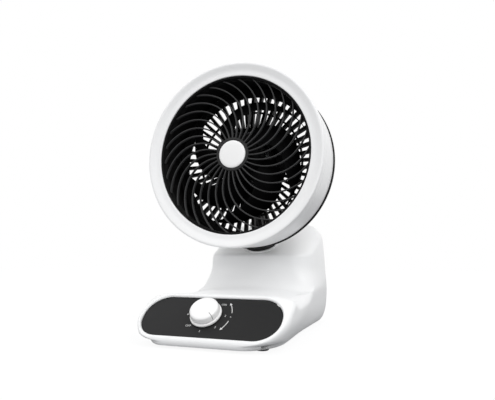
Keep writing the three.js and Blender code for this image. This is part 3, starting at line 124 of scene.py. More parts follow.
def capped(sections: np.ndarray, ends: np.ndarray) -> Form:
    """A closed form from a row of outlines, each end shut by a fan round a middle point.

    Args:
        sections: (rows, columns, 3) points; the outlines turn counter-clockwise as seen against
            the direction that the rows run in.
        ends: The two middle points.

    Returns:
        The form, facing outwards.
    """
    rows, columns, _ = sections.shape
    j = np.arange(columns)
    k = (j + 1) % columns
    size, top = rows * columns, (rows - 1) * columns
    first = np.stack([np.full(columns, size), k, j], axis=-1)
    last = np.stack([np.full(columns, size + 1), top + j, top + k], axis=-1)
    faces = [grid_faces(rows, columns, wrap_columns=True), first, last]
    return np.concatenate([sections.reshape(-1, 3), ends]), faces


def tube(sections: np.ndarray) -> Form:
    """A closed form from a row of outlines, each end shut round the outline's middle."""
    return capped(sections, np.stack([sections[0].mean(0), sections[-1].mean(0)]))


def turned(profile: np.ndarray, sides: int, ring: bool = False) -> Form:
    """A surface of revolution: the point (r, h) becomes (r cos a, r sin a, h) for a full turn of a.

    Args:
        profile: (radius, height) points; an open one starts and ends on the axis.
        sides: Points round the axis.
        ring: Whether the profile closes on itself, away from the axis.

    Returns:
        A closed form that faces outwards.
    """
    r, h = profile[:, 0], profile[:, 1]
    if np.sum(r * np.roll(h, -1) - np.roll(r, -1) * h) < 0:
        r, h = r[::-1], h[::-1]
    poles = np.array([[0, 0, h[0]], [0, 0, h[-1]]])
    if not ring:
        r, h = r[1:-1], h[1:-1]
    a = np.linspace(0.0, 2 * math.pi, sides, endpoint=False)
    points = np.stack([r[:, None] * np.cos(a), r[:, None] * np.sin(a), h[:, None] + 0 * a], axis=-1)
    if ring:
        return points.reshape(-1, 3), [grid_faces(len(r), sides, wrap_rows=True, wrap_columns=True)]
    return capped(points, poles)


def softened(points: Corners, steps: int, closed: bool = False) -> np.ndarray:
    """A flat outline with rounded corners.

    Each corner P with radius r becomes the curve (1-u)^2 A + 2u(1-u) P + u^2 B, where A and B lie r
    away from P on its two sides.

    Args:
        points: (a, b, r) of each corner.
        steps: Points on each corner.
        closed: Whether the last corner joins the first.

    Returns:
        An (n, 2) array.
    """
    data = np.asarray(points, float)
    corner, radius = data[:, :2], data[:, 2].copy()
    before, after = np.roll(corner, 1, 0), np.roll(corner, -1, 0)
    if not closed:
        before[0], after[-1] = corner[0], corner[-1]
        radius[[0, -1]] = 0.0
    to_before, to_after = before - corner, after - corner
    size_before = np.maximum(np.linalg.norm(to_before, axis=1), 1e-9)
    size_after = np.maximum(np.linalg.norm(to_after, axis=1), 1e-9)
    reach = np.minimum(radius, 0.49 * np.minimum(size_before, size_after))
    a = corner + to_before * (reach / size_before)[:, None]
    b = corner + to_after * (reach / size_after)[:, None]
    u = np.linspace(0.0, 1.0, steps)[None, :, None]
    curve = (1 - u) ** 2 * a[:, None] + 2 * u * (1 - u) * corner[:, None] + u**2 * b[:, None]
    curve = curve.reshape(-1, 2)
    apart = np.linalg.norm(np.diff(curve, axis=0), axis=1) > 1e-4
    return curve[np.concatenate([[True], apart])]


def lathed(points: Corners, steps: int, sides: int, ring: bool = False) -> Form:
    """A surface of revolution whose outline of (radius, height, rounding) corners is softened."""
    return turned(softened(points, steps, ring), sides, ring)


def rod(radius: float, low: float, high: float, sides: int) -> Form:
    """A plain cylinder about Z, used as a cutter."""
    return turned(np.array([[0, low], [radius, low], [radius, high], [0, high]]), sides)


def normals(line: np.ndarray) -> np.ndarray:
    """Unit normals of a flat curve, to the left of its run.

    Args:
        line: (n, 2) points.

    Returns:
        (n, 2) array; the tangent (a, b) gives the normal (-b, a).
    """
    along = np.gradient(line, axis=0)
    along /= np.linalg.norm(along, axis=1, keepdims=True)
    return np.stack([-along[:, 1], along[:, 0]], axis=1)


def joined(forms: list[Form]) -> Form:
    """Several closed forms as one.

    Args:
        forms: Points and faces of each form.

    Returns:
        All points, and faces that count them in that order.
    """
    faces: list[np.ndarray] = []
    start = 0
    for points, parts in forms:
        faces += [part + start for part in parts]
        start += len(points)
    return np.concatenate([points for points, _ in forms]), faces


def repeated(form: Form, turns: np.ndarray) -> Form:
    """Copies of a form turned about Z.

    Args:
        form: Points and faces of one copy.
        turns: Angles in degrees.

    Returns:
        One form of all the copies; each point is turned by (x cos a - y sin a, x sin a + y cos a).
    """
    points, faces = form
    a = np.radians(turns)[:, None]
    x, y, z = points.T
    copies = np.stack([x * np.cos(a) - y * np.sin(a), x * np.sin(a) + y * np.cos(a), z + 0 * a], axis=-1)
    offsets = (np.arange(len(turns)) * len(points))[:, None, None]
    return copies.reshape(-1, 3), [(part[None] + offsets).reshape(-1, part.shape[1]) for part in faces]


def turn(degrees: float, axis: str = "X") -> Matrix:
    """A turn about an axis."""
    return Matrix.Rotation(math.radians(degrees), 4, axis)


def shift(x: float, y: float, z: float) -> Matrix:
    """A move."""
    return Matrix.Translation((x, y, z))


def placed(form: Form, place: Matrix) -> Form:
    """A form moved by a rigid matrix in millimetres.

    Args:
        form: Points and faces.
        place: 4 by 4 matrix.

    Returns:
        The moved form: each point p becomes R p + t.
    """
    points, faces = form
    m = np.array(place)
    return points @ m[:3, :3].T + m[:3, 3], faces


def mesh_of(name: str, form: Form) -> bpy.types.Mesh:
    """Writes a form, in millimetres, into a Blender mesh in metres.

    Args:
        name: Name of the mesh.
        form: Points and faces.

    Returns:
        The mesh.
    """
    points, faces = form
    mesh = bpy.data.meshes.new(name)
    mesh.vertices.add(len(points))
    mesh.vertices.foreach_set("co", (points * MM).astype(np.float32).ravel())
    corners = np.concatenate([part.ravel() for part in faces]).astype(np.int32)
    sizes = np.concatenate([np.full(len(part), part.shape[1]) for part in faces])
    mesh.loops.add(len(corners))
    mesh.loops.foreach_set("vertex_index", corners)
    mesh.polygons.add(len(sizes))
    mesh.polygons.foreach_set("loop_start", np.concatenate([[0], np.cumsum(sizes)[:-1]]).astype(np.int32))
    mesh.update(calc_edges=True)
    mesh.validate()
    return mesh


def linked(name: str, data: bpy.types.ID) -> bpy.types.Object:
    """A new object of the scene.

    Args:
        name: Its name.
        data: Its mesh, curve, lamp or camera.

    Returns:
        The object, at the origin.
    """
    thing = bpy.data.objects.new(name, data)
    bpy.context.scene.collection.objects.link(thing)
    return thing


def finished_mesh(thing: bpy.types.Object) -> bpy.types.Mesh:
    """An object's mesh with its modifiers worked in."""
    bpy.context.view_layer.update()
    return bpy.data.meshes.new_from_object(thing.evaluated_get(bpy.context.evaluated_depsgraph_get()))


def carved(name: str, form: Form, cutters: list[Form]) -> bpy.types.Mesh:
    """A form with others cut out of it by Blender's Boolean modifier.

    Args:
        name: Name of the mesh.
        form: The form that is cut.
        cutters: Closed forms to take away.

    Returns:
        The cut mesh; the cutters are removed again.
    """
    body = linked(name + "_raw", mesh_of(name + "_raw", form))
    tools = []
    for number, cutter in enumerate(cutters):
        label = f"{name}_cut_{number}"
        tools.append(linked(label, mesh_of(label, cutter)))
        cut = body.modifiers.new(label, "BOOLEAN")
        cut.operation, cut.solver, cut.object = "DIFFERENCE", "EXACT", tools[-1]
    mesh = finished_mesh(body)
    mesh.name = name
    for thing in [body, *tools]:
        data = thing.data
        bpy.data.objects.remove(thing)
        bpy.data.meshes.remove(data)
    return mesh


# ---------------------------------------------------------------- finishes


def feed(node: bpy.types.Node, inputs: dict[str | int, object]) -> None:
    """Sets or links inputs of a node.

    Args:
        node: The node.
        inputs: A value to set or a socket to link for each input named.
    """
    for key, value in inputs.items():
        if isinstance(value, bpy.types.NodeSocket):
            node.id_data.links.new(value, node.inputs[key])
        else:
            node.inputs[key].default_value = value


def add(tree: bpy.types.NodeTree, kind: str, inputs: dict[str | int, object] | None = None,
        **settings: object) -> bpy.types.Node:
    """Adds a shader node to a tree.

    Args:
        tree: Where it goes.
        kind: Its type, without Blender's ShaderNode in front.
        inputs: A value to set or a socket to link for each input named.
        **settings: Properties of the node itself, set first.

    Returns:
        The node.
    """
    node = tree.nodes.new("ShaderNode" + kind)
    for key, value in settings.items():
        setattr(node, key, value)
    feed(node, inputs or {})
    return node


def noise(tree: bpy.types.NodeTree, vector: bpy.types.NodeSocket, scale: object, detail: float,
          rough: float = 0.5) -> bpy.types.NodeSocket:
    """A noise texture.

    Args:
        tree: Where it goes.
        vector: The place that it reads.
        scale: How fine it is, a number or a socket.
        detail: Octaves.
        rough: Weight of the finer octaves.

    Returns:
        The noise's value.
    """
    inputs = {"Vector": vector, "Scale": scale, "Detail": detail, "Roughness": rough}
    return add(tree, "TexNoise", inputs).outputs["Fac"]


def calc(tree: bpy.types.NodeTree, operation: str, *values: object) -> bpy.types.NodeSocket:
    """Result of a math node on numbers or sockets."""
    return add(tree, "Math", dict(enumerate(values)), operation=operation).outputs[0]


class Effects:
    """Shader groups that several finishes share."""

    KINDS = {1: "NodeSocketFloat", 3: "NodeSocketVector", 4: "NodeSocketColor"}
    CLOUD_SCALE, RIPPLE_SCALE, RIPPLE_SHARE = 14.0, 30.0, 0.35
    PATCH_SCALE, SPECK_SCALE = 22.0, 700.0

    @classmethod
    def group(cls, name: str, inputs: dict[str, object], outputs: dict[str, int]) -> tuple:
        """An empty shader group with named sockets.

        Args:
            name: Name of the group.
            inputs: Default of each input; one, three or four numbers make a value, vector or colour.
            outputs: How many numbers each output has.

        Returns:
            The group, the sockets that bring its inputs, and its output node.
        """
        tree = bpy.data.node_groups.new(name, "ShaderNodeTree")
        for label, value in inputs.items():
            kind = cls.KINDS[np.size(value)]
            tree.interface.new_socket(name=label, in_out="INPUT", socket_type=kind).default_value = value
        for label, size in outputs.items():
            tree.interface.new_socket(name=label, in_out="OUTPUT", socket_type=cls.KINDS[size])
        return tree, tree.nodes.new("NodeGroupInput").outputs, tree.nodes.new("NodeGroupOutput")

    @staticmethod
    def varied(tree: bpy.types.NodeTree, given: object, wave: bpy.types.NodeSocket, tint: str,
               gloss: str) -> dict[str, object]:
        """Colour and roughness that follow a noise n of -1 to 1.

        Args:
            tree: The group.
            given: Its input sockets.
            wave: Noise of 0 to 1.
            tint: Input that says how far the colour swings.
            gloss: Input that says how far the roughness swings.

        Returns:
            Color is Base (1 + tint n) and Roughness is Roughness + gloss n.
        """
        swing = calc(tree, "MULTIPLY_ADD", wave, 2.0, -1.0)
        factor = calc(tree, "MULTIPLY_ADD", swing, given[tint], 1.0)
        colour = add(tree, "VectorMath", {0: given["Base"], "Scale": factor}, operation="SCALE")
        rough = calc(tree, "MULTIPLY_ADD", swing, given[gloss], given["Roughness"])
        return {"Color": colour.outputs[0], "Roughness": rough}

    @classmethod
    def moulded(cls) -> bpy.types.NodeTree:
        """Moulded plastic: slight cloudiness of colour and gloss, and the fine grain of the mould.

        Returns:
            The group; its height is grain noise plus a faint long ripple.
        """
        inputs = {"Vector": (0, 0, 0), "Base": PLAIN_WHITE, "Mottle": 0.02, "Roughness": 0.3, "Spread": 0.05,
                  "Grain": 900.0}
        tree, given, sink = cls.group("moulded_plastic", inputs, {"Color": 4, "Roughness": 1, "Height": 1})
        cloud = noise(tree, given["Vector"], cls.CLOUD_SCALE, 3)
        grain = noise(tree, given["Vector"], given["Grain"], 2, 0.6)
        ripple = noise(tree, given["Vector"], cls.RIPPLE_SCALE, 1)
        feed(sink, cls.varied(tree, given, cloud, "Mottle", "Spread"))
        feed(sink, {"Height": calc(tree, "MULTIPLY_ADD", ripple, cls.RIPPLE_SHARE, grain)})
        return tree

    @classmethod
    def dusted(cls) -> bpy.types.NodeTree:
        """Fine dust: speckles that gather in soft patches.

        Returns:
            The group; Mask is noise patches times fine speckles, times Amount.
        """
        tree, given, sink = cls.group("fine_dust", {"Vector": (0, 0, 0), "Amount": 0.2}, {"Mask": 1})
        patch = noise(tree, given["Vector"], cls.PATCH_SCALE, 4)
        speck = noise(tree, given["Vector"], cls.SPECK_SCALE, 2)
        both = calc(tree, "MULTIPLY", patch, speck)
        mask = add(tree, "Math", {0: both, 1: given["Amount"]}, operation="MULTIPLY", use_clamp=True)
        feed(sink, {"Mask": mask.outputs[0]})
        return tree

    @classmethod
    def brushed(cls) -> bpy.types.NodeTree:
        """Drawn or brushed metal: noise that reads the place times Stretch.

        Returns:
            The group; its height is the same noise.
        """
        inputs = {"Vector": (0, 0, 0), "Base": PLAIN_WHITE, "Stretch": (900.0, 900.0, 30.0), "Contrast": 0.12,
                  "Roughness": 0.35}
        tree, given, sink = cls.group("brushed_metal", inputs, {"Color": 4, "Roughness": 1, "Height": 1})
        pull = add(tree, "VectorMath", {0: given["Vector"], 1: given["Stretch"]}, operation="MULTIPLY")
        lines = noise(tree, pull.outputs[0], 1.0, 3, 0.6)
        feed(sink, cls.varied(tree, given, lines, "Contrast", "Contrast"))
        feed(sink, {"Height": lines})
        return tree


@dataclass(frozen=True)
class Finish:
    """What a piece is made of; depth is the height of its grain in millimetres."""

    name: str
    colour: tuple[float, float, float]
    roughness: float
    slot: Slot
    depth: float = 0.02

    def surface(self, shader: bpy.types.Node, groups: Groups, given: dict[str, object]) -> bpy.types.Node:
        """Sets the shader up and adds the shared group that the finish uses."""
        raise NotImplementedError

    def material(self, groups: Groups) -> bpy.types.Material:
        """Builds the node material.

        Args:
            groups: The shared shader groups by name.

        Returns:
            The material.
        """
        material = bpy.data.materials.new(self.name)
        material.use_nodes = True
        material.diffuse_color = colour = (*self.colour, 1.0)
        tree = material.node_tree
        shader = tree.nodes["Principled BSDF"]
        place = add(tree, "TexCoord").outputs["Object"]
        surface = self.surface(shader, groups, {"Vector": place, "Base": colour, "Roughness": self.roughness})
        bump = add(tree, "Bump", {"Distance": self.depth * MM, "Height": surface.outputs["Height"]})
        feed(shader, {"Roughness": surface.outputs["Roughness"], "Normal": bump.outputs["Normal"]})
        return material


@dataclass(frozen=True)
class Plastic(Finish):
    """A moulded plastic, rubber or ink."""

    mottle: float = 0.02
    spread: float = 0.05
    grain: float = 1500.0
    dust: float = 0.0
    specular: float = 0.5
    coat: float = 0.0

    def surface(self, shader: bpy.types.Node, groups: Groups, given: dict[str, object]) -> bpy.types.Node:
        """Links mottled colour, under dust where there is some.

        Args:
            shader: The material's shader.
            groups: The shared shader groups by name.
            given: Place, base colour and roughness.

        Returns:
            The moulded group's node.
        """
        tree = shader.id_data
        feed(shader, {"Coat Weight": self.coat, "Coat Roughness": COAT_ROUGHNESS,
                      "Specular IOR Level": self.specular})
        own = {"Mottle": self.mottle, "Spread": self.spread, "Grain": self.grain}
        surface = add(tree, "Group", {**given, **own}, node_tree=groups["moulded"])
        colour = surface.outputs["Color"]
        if self.dust:
            amount = {"Vector": given["Vector"], "Amount": self.dust}
            mask = add(tree, "Group", amount, node_tree=groups["dusted"]).outputs["Mask"]
            mix = add(tree, "Mix", {"Factor": mask, "A": colour, "B": DUST_COLOUR}, data_type="RGBA")
            colour = mix.outputs["Result"]
        feed(shader, {"Base Color": colour})
        return surface


@dataclass(frozen=True)
class Metal(Finish):
    """A drawn, brushed or cast metal."""

    depth: float = 0.01
    stretch: tuple[float, float, float] = (900.0, 900.0, 40.0)
    contrast: float = 0.12

    def surface(self, shader: bpy.types.Node, groups: Groups, given: dict[str, object]) -> bpy.types.Node:
        """Links the brushed colour.

        Args:
            shader: The material's shader.
            groups: The shared shader groups by name.
            given: Place, base colour and roughness.

        Returns:
            The brushed group's node.
        """
        own = {"Stretch": self.stretch, "Contrast": self.contrast}
        surface = add(shader.id_data, "Group", {**given, **own}, node_tree=groups["brushed"])
        feed(shader, {"Metallic": 1.0, "Base Color": surface.outputs["Color"]})
        return surface


# Plastic: name, colour, roughness, slot, depth, mottle, spread, grain, dust, specular, coat
WHITE = Plastic("white_housing_plastic", (0.835, 0.84, 0.845), 0.32, Slot.WHITE,
                0.006, 0.006, 0.03, 1400.0, 0.0, 0.3, 0.05)
# White ring plastic: a slightly darker copy of the white housing plastic, toned down where the lamps fall
# strongest on the front ring (painted shade); the drum wall and neck collar share it.
WHITE_RING_SHADED = Plastic("white_ring_painted_shade", (0.82, 0.823, 0.828), 0.30, Slot.WHITE,
                     0.005, 0.006, 0.03, 1400.0, 0.0, 0.3, 0.05)
WHITE_KNOB = Plastic("white_knob_plastic", (0.85, 0.85, 0.85), 0.32, Slot.WHITE,
                     0.008, 0.006, 0.03, 1500.0, 0.0, 0.35, 0.05)
CHARCOAL = Plastic("charcoal_panel_plastic", (0.011, 0.011, 0.0115), 0.42, Slot.CHARCOAL,
                   0.015, 0.06, 0.05, 2200.0, 0.012, 0.22)
BLACK = Plastic("black_case_plastic", (0.006, 0.006, 0.0065), 0.45, Slot.BLACK,
                0.03, 0.08, 0.06, 1300.0, 0.02, 0.3)
# Blade plastic: a darker, duller copy of the black case plastic, so that the blades read pure black in the
# drum's shade (painted shade).
BLADE_SHADED = Plastic("black_blade_painted_shade", (0.0012, 0.0012, 0.0014), 0.6, Slot.BLACK,
                0.02, 0.08, 0.06, 900.0, 0.003, 0.05)
GRILLE = Plastic("dark_grille_plastic", (0.032, 0.032, 0.033), 0.45, Slot.GRILLE,
                 0.02, 0.06, 0.05, 1500.0, 0.03, 0.25)
# Rear plastic: a darker, duller copy of the black case plastic, so that the grilles' rims and the rear grille
# read pure black in the drum's shade (painted shade).
REAR_SHADE_BLACK = Plastic("black_rear_painted_shade", (0.0022, 0.0022, 0.0024), 0.55, Slot.BLACK,
               0.02, 0.06, 0.05, 1300.0, 0.006, 0.12)
RUBBER = Plastic("black_foot_rubber", (0.012, 0.012, 0.012), 0.85, Slot.RUBBER, 0.06, 0.1, 0.06, 2500.0, 0.12)
ACETAL = Plastic("natural_acetal", (0.74, 0.71, 0.63), 0.5, Slot.ACETAL, 0.02, 0.03, 0.05, 1200.0)
INK = Plastic("grey_pointer_ink", (0.09, 0.092, 0.097), 0.5, Slot.PRINT, 0.01, 0.05, 0.05, 2500.0)
MARK = Plastic("pale_dial_ink", (0.62, 0.62, 0.62), 0.55, Slot.PRINT, 0.01, 0.04, 0.05, 3000.0)
CAN = Plastic("capacitor_case", (0.05, 0.05, 0.055), 0.4, Slot.CHARCOAL, 0.02, 0.05, 0.05, 1500.0)
# Metal: name, colour, roughness, slot, depth, stretch, contrast
STEEL = Metal("zinc_plated_steel", (0.60, 0.61, 0.62), 0.33, Slot.STEEL)
SHEET = Metal("rolled_steel_sheet", (0.55, 0.56, 0.57), 0.38, Slot.STEEL, 0.01, (1200.0, 60.0, 1200.0), 0.1)
ALUMINIUM = Metal("cast_aluminium", (0.66, 0.67, 0.68), 0.46, Slot.ALUMINIUM,
                  0.03, (500.0, 500.0, 500.0), 0.08)
BRASS = Metal("turned_brass", (0.60, 0.43, 0.18), 0.3, Slot.BRASS, 0.01, (300.0, 300.0, 1500.0), 0.1)
COPPER = Metal("enamelled_winding", (0.50, 0.20, 0.08), 0.36, Slot.COPPER, 0.08, (120.0, 2600.0, 120.0), 0.22)


@dataclass
class Workshop:
    """Turns forms into finished pieces that ride on a body; each material is made on first use."""

    made: dict[str, bpy.types.Material] = field(default_factory=dict)
    groups: Groups = field(default_factory=dict)

    def material(self, finish: Finish) -> bpy.types.Material:
        """The finish's material, made once.

        Args:
            finish: Which finish.

        Returns:
            Its material.
        """
        if not self.groups:
            self.groups = {"moulded": Effects.moulded(), "dusted": Effects.dusted(),
                           "brushed": Effects.brushed()}
        if finish.name not in self.made:
            self.made[finish.name] = finish.material(self.groups)
        return self.made[finish.name]

    def piece(self, name: str, shape: Form | bpy.types.Mesh, finish: Finish, body: Body,
              node: str | None = None, crease: float = 35.0) -> None:
        """Adds one piece to the scene, its object at the origin.

        Args:
            name: The piece's name.
            shape: A form in millimetres, or a finished mesh in metres.
            finish: What it is made of.
            body: The body that it rides on.
            node: CAD node that it replaces.
            crease: Edges sharper than this many degrees stay sharp.
        """
        mesh = shape if isinstance(shape, bpy.types.Mesh) else mesh_of(name, shape)
        mesh.polygons.foreach_set("use_smooth", np.ones(len(mesh.polygons), bool))
        mesh.set_sharp_from_angle(angle=math.radians(crease))
        mesh.update()
        mesh.materials.clear()
        mesh.materials.append(self.material(finish))
        thing = linked(name, mesh)
        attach(thing, body.value)
        if node:
            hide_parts(node)
        LOG.info("%s: %d faces, %s, on %s", name, len(mesh.polygons), finish.name, body.value)

    def dress(self, finish: Finish, *nodes: str) -> None:
        """Gives CAD nodes their material.

        Args:
            finish: What they are made of.
            *nodes: Names of the nodes.
        """
        for node in nodes:
            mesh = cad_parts[node].data
            if mesh.materials:
                mesh.materials[0] = self.material(finish)
            else:
                mesh.materials.append(self.material(finish))
            LOG.info("%s: CAD node in %s", node, finish.name)


# ---------------------------------------------------------------- base


@dataclass
class Roof:
    """The column's sloping top and what stands on it: the neck's ball and the tilt hinge."""

    y: float = 60.0
    ball_z: float = 109.5
    hinge_z: float = 145.0
    slope: float = 29.0

    def place(self) -> Matrix:
        """Frame at the ball's middle, Z out of the sloping top."""
        return shift(0, self.y, self.ball_z) @ turn(self.slope)


@dataclass
class Panel:
    """Sizes of the sloping control panel, shared by the base and its controls."""

    y: float = -120.7
    z: float = 30.8
    angle: float = 41.2
    half_length: float = 83.1
    half_height: float = 28.4
    corner: float = 27.0
    proud: float = 2.8
    rim: float = 8.0
    knob_across: float = -5.0
    knob_along: float = 3.5

    def place(self) -> Matrix:
        """Frame on the panel's face: X across, Y up the slope, Z out of it."""
        return shift(0, self.y, self.z) @ turn(self.angle)

    def knob_place(self) -> Matrix:
        """Frame on the knob's axis."""
        return self.place() @ shift(self.knob_across, self.knob_along, 0)

    def slab(self, grow: np.ndarray, height: np.ndarray) -> Form:
        """A stack of round-cornered outlines: corner centres plus (radius + grow)(cos a, sin a).

        Args:
            grow: How far each outline stands outside the panel.
            height: How far each lies above the panel's face.

        Returns:
            The form in the part's frame.
        """
        a = np.linspace(0, 90, 24)[None, :] + np.array([0, 90, 180, 270])[:, None]
        signs = np.array([[1, 1], [-1, 1], [-1, -1], [1, -1]])
        centres = signs * np.array([self.half_length - self.corner, self.half_height - self.corner])
        reach = (self.corner + grow)[:, None, None, None]
        round_part = np.stack([np.cos(np.radians(a)), np.sin(np.radians(a))], axis=-1)
        outline = (centres[None, :, None] + reach * round_part[None]).reshape(len(grow), -1, 2)
        rows = np.concatenate([outline, height[:, None, None] + 0 * outline[..., :1]], axis=-1)
        return placed(tube(rows), self.place())


@dataclass
class Housing:
    """White housing: base and column as one skin, with the panel's recess and the neck opening."""

    panel: Panel
    roof: Roof
    front: float = -147.5
    rear: float = 147.0
    underside: float = 2.0
    wall: float = 2.6
    column_front: float = 32.0
    column_top: float = 101.5
    rise: float = 0.3
    fillet: float = 32.0
    edge: float = 6.5
    shoulder: float = 25.0
    rim_top: float = 6.0
    crest_back: float = 6.0
    toe: float = 7.6
    bottom_round: float = 9.0
    lobe_half: float = 91.0
    rear_half: float = 83.5
    column_front_half: float = 77.0
    column_rear_half: float = 82.0
    column_corner: float = 24.0
    rear_corner: float = 28.0
    shoulder_round: float = 38.0
    side_round: float = 24.0
    sag: float = 6.0
    lift: float = 0.8
    waist: float = 58.0
    low_round: float = 30.0
    barrel_low: float = 5.0
    barrel_high: float = 6.0
    hole: float = 24.8
    inlet_z: float = 20.0
    inlet_radius: float = 5.8
    mouth_round: float = 2.6
    panel_gap: float = 0.3
    rim_edge: float = 8.0
    rim_deep: float = 10.0
    flank_edge: float = 14.0
    flank_deep: float = 22.0
    column_levels: Span = (48.0, 84.0)
    column_run: Span = (32.0, 117.0)
    lobe_run: Span = (-100.0, 40.0)
    lobe_levels: Span = (0.0, 30.0)
    behind_rim: Span = (-20.0, 30.0)
    flank_run: Span = (-104.0, -64.0)
    barrel_run: Span = (-110.0, 20.0)
    sag_across: Span = (30.0, 86.0)
    sag_start: Span = (-100.0, -62.0)
    sag_end: Span = (4.0, 50.0)
    sag_levels: Span = (34.0, 54.0)
    toe_run: Span = (-146.0, -84.0)
    toe_levels: Span = (2.0, 24.0)
    crown_start: float = 92.0
    foot_levels: Span = (4.0, 36.0)
    crest: tuple[float, float] = field(init=False)
    valley: float = field(init=False)
    toe_z: float = field(init=False)
    apex: float = field(init=False)

    def __post_init__(self) -> None:
        """Works out the side view's arc centres: each arc touches the lines next to it."""
        s, c = math.sin(math.radians(self.panel.angle)), math.cos(math.radians(self.panel.angle))
        face = (self.panel.y - self.panel.proud * s, self.panel.z + self.panel.proud * c)
        reach = self.panel.half_height + self.panel.rim - self.crest_back
        self.crest = (face[0] + reach * c + self.rim_top * s, face[1] + reach * s - self.rim_top * c)
        self.toe_z = face[1] + ((self.front + self.toe - face[0]) * s - self.toe) / c
        self.valley = self.crest[1] + self.rim_top
        self.apex = self.under_top(self.rear - self.shoulder, self.shoulder) + self.shoulder

    def under_top(self, y: float, radius: float) -> float:
        """Height of a circle's centre that touches the sloping top from below, at y."""
        a = math.radians(self.roof.slope)
        return self.column_top + math.tan(a) * (y - self.column_front) - radius / math.cos(a)

    def profile(self, inset: float, detail: int) -> np.ndarray:
        """Front edge of the skin in the side view, from the underside to the apex.

        Five arcs centre + R (cos a, sin a): toe, rim crest, foot of the column, its top edge and
        the shoulder; the straights between them get points of their own.

        Args:
            inset: How far inside the outer skin.
            detail: Steps on each arc.

        Returns:
            (n, 2) points of y and z.
        """
        low = 180 + math.degrees(math.asin(min(1.0, (self.toe_z - self.underside) / self.toe)))
        slope_normal, top_normal = 90 + self.panel.angle, 90 + self.roof.slope
        fillet_y = self.column_front - self.fillet
        fillet_z = self.valley + (fillet_y - self.crest[0]) * math.tan(math.radians(self.rise)) + self.fillet
        edge_y, shoulder_y = self.column_front + self.edge, self.rear - self.shoulder
        edge_z, shoulder_z = self.under_top(edge_y, self.edge), self.under_top(shoulder_y, self.shoulder)
        arcs = [
            (self.front + self.toe, self.toe_z, self.toe - inset, low, slope_normal),
            (*self.crest, self.rim_top - inset, slope_normal, 90 + self.rise),
            (fillet_y, fillet_z, self.fillet + inset, self.rise - 90, 0),
            (edge_y, edge_z, self.edge - inset, 180, top_normal),
            (shoulder_y, shoulder_z, self.shoulder - inset, top_normal, 93),
        ]
        y, z, r, start, end = np.array(arcs).T[:, :, None]
        a = np.radians(start + (end - start) * np.linspace(0, 1, detail)[None])
        curve = np.stack([y + r * np.cos(a), z + r * np.sin(a)], axis=-1)
        t = np.linspace(0, 1, detail + 2)[1:-1, None]
        straight = [curve[k, -1] * (1 - t) + curve[k + 1, 0] * t for k in range(4)]
        rows = [part for k in range(4) for part in (curve[k], straight[k])] + [curve[4]]
        return np.concatenate(rows)

    def bottom_inset(self, z: np.ndarray, height: float) -> np.ndarray:
        """Round lower edge, an upright ellipse: a (1 - sqrt(1 - low^2)).

        Args:
            z: Heights.
            height: The ellipse's height; low is the share of it that is missing at z.

        Returns:
            How far the edge is set in.
        """
        low = np.clip((self.underside + height - z) / height, 0.0, 1.0)
        return self.bottom_round * (1 - np.sqrt(1 - low**2))

    def top_round(self, z: np.ndarray, radius: float, inset: float) -> np.ndarray:
        """How far an edge rounded by radius under the apex is set in at height z.

        Args:
            z: Heights.
            radius: The edge's radius.
            inset: How far inside the outer skin.

        Returns:
            r - sqrt(r^2 - high^2) above the round's start, else 0.
        """
        high = np.maximum(0.0, z - self.apex + radius)
        r = radius - inset
        return np.where(high > 0, r - np.sqrt(np.maximum(0.0, r * r - high * high)), 0.0)

    def half_width(self, y: np.ndarray, z: np.ndarray, inset: float) -> np.ndarray:
        """Half width of the skin at a place.

        The base narrows from the lobes to the rear and the lobes narrow towards the underside; the
        column takes over between its two levels.  Behind the rim the sides swell by a barrel of
        squares about the waist, and the edges below, along the rim and at the top are round.

        Args:
            y: Places along the fan.
            z: Heights.
            inset: How far inside the outer skin.

        Returns:
            Half widths.
        """
        wider = self.lobe_half - self.rear_half
        base = self.rear_half + wider * (1 - ease(y, *self.lobe_run)) * ease(z, *self.lobe_levels)
        more = self.column_rear_half - self.column_front_half
        column = self.column_front_half + more * ease(y, *self.column_run)
        ledge = np.clip((z - self.valley + self.rim_deep) / self.rim_deep, 0, 1)
        deep = np.clip((z - self.valley + self.flank_deep) / self.flank_deep, 0, 1)
        behind = 1 - ease(y, *self.behind_rim)
        rim = self.rim_edge * (1 - np.sqrt(1 - ledge**2)) * behind
        flank = self.flank_edge * (1 - np.sqrt(1 - deep**2)) * behind * ease(y, *self.flank_run)
        below = np.clip((self.waist - z) / self.waist, 0, 1) ** 2 * self.barrel_low
        below = below * ease(y, *self.barrel_run)
        above = np.clip((z - self.waist) / (self.apex - self.waist), 0, 1) ** 2 * self.barrel_high
        rounding = self.bottom_inset(z, self.low_round) + below + above + np.maximum(rim, flank)
        rounding = rounding + self.top_round(z, self.side_round, inset)
        return base + (column - base) * ease(z, *self.column_levels) - rounding - inset

    def rim_half_length(self, z: np.ndarray) -> np.ndarray:
        """Half length of the panel's rim at a height: straight part + sqrt(R^2 - rise^2).

        Args:
            z: Heights.

        Returns:
            Half lengths.
        """
        radius = self.panel.half_height + self.panel.rim
        up = np.minimum(1.0, np.abs(z - self.panel.z) / math.sin(math.radians(self.panel.angle)) / radius)
        return self.panel.half_length + self.panel.rim - radius + radius * np.sqrt(1 - up**2)

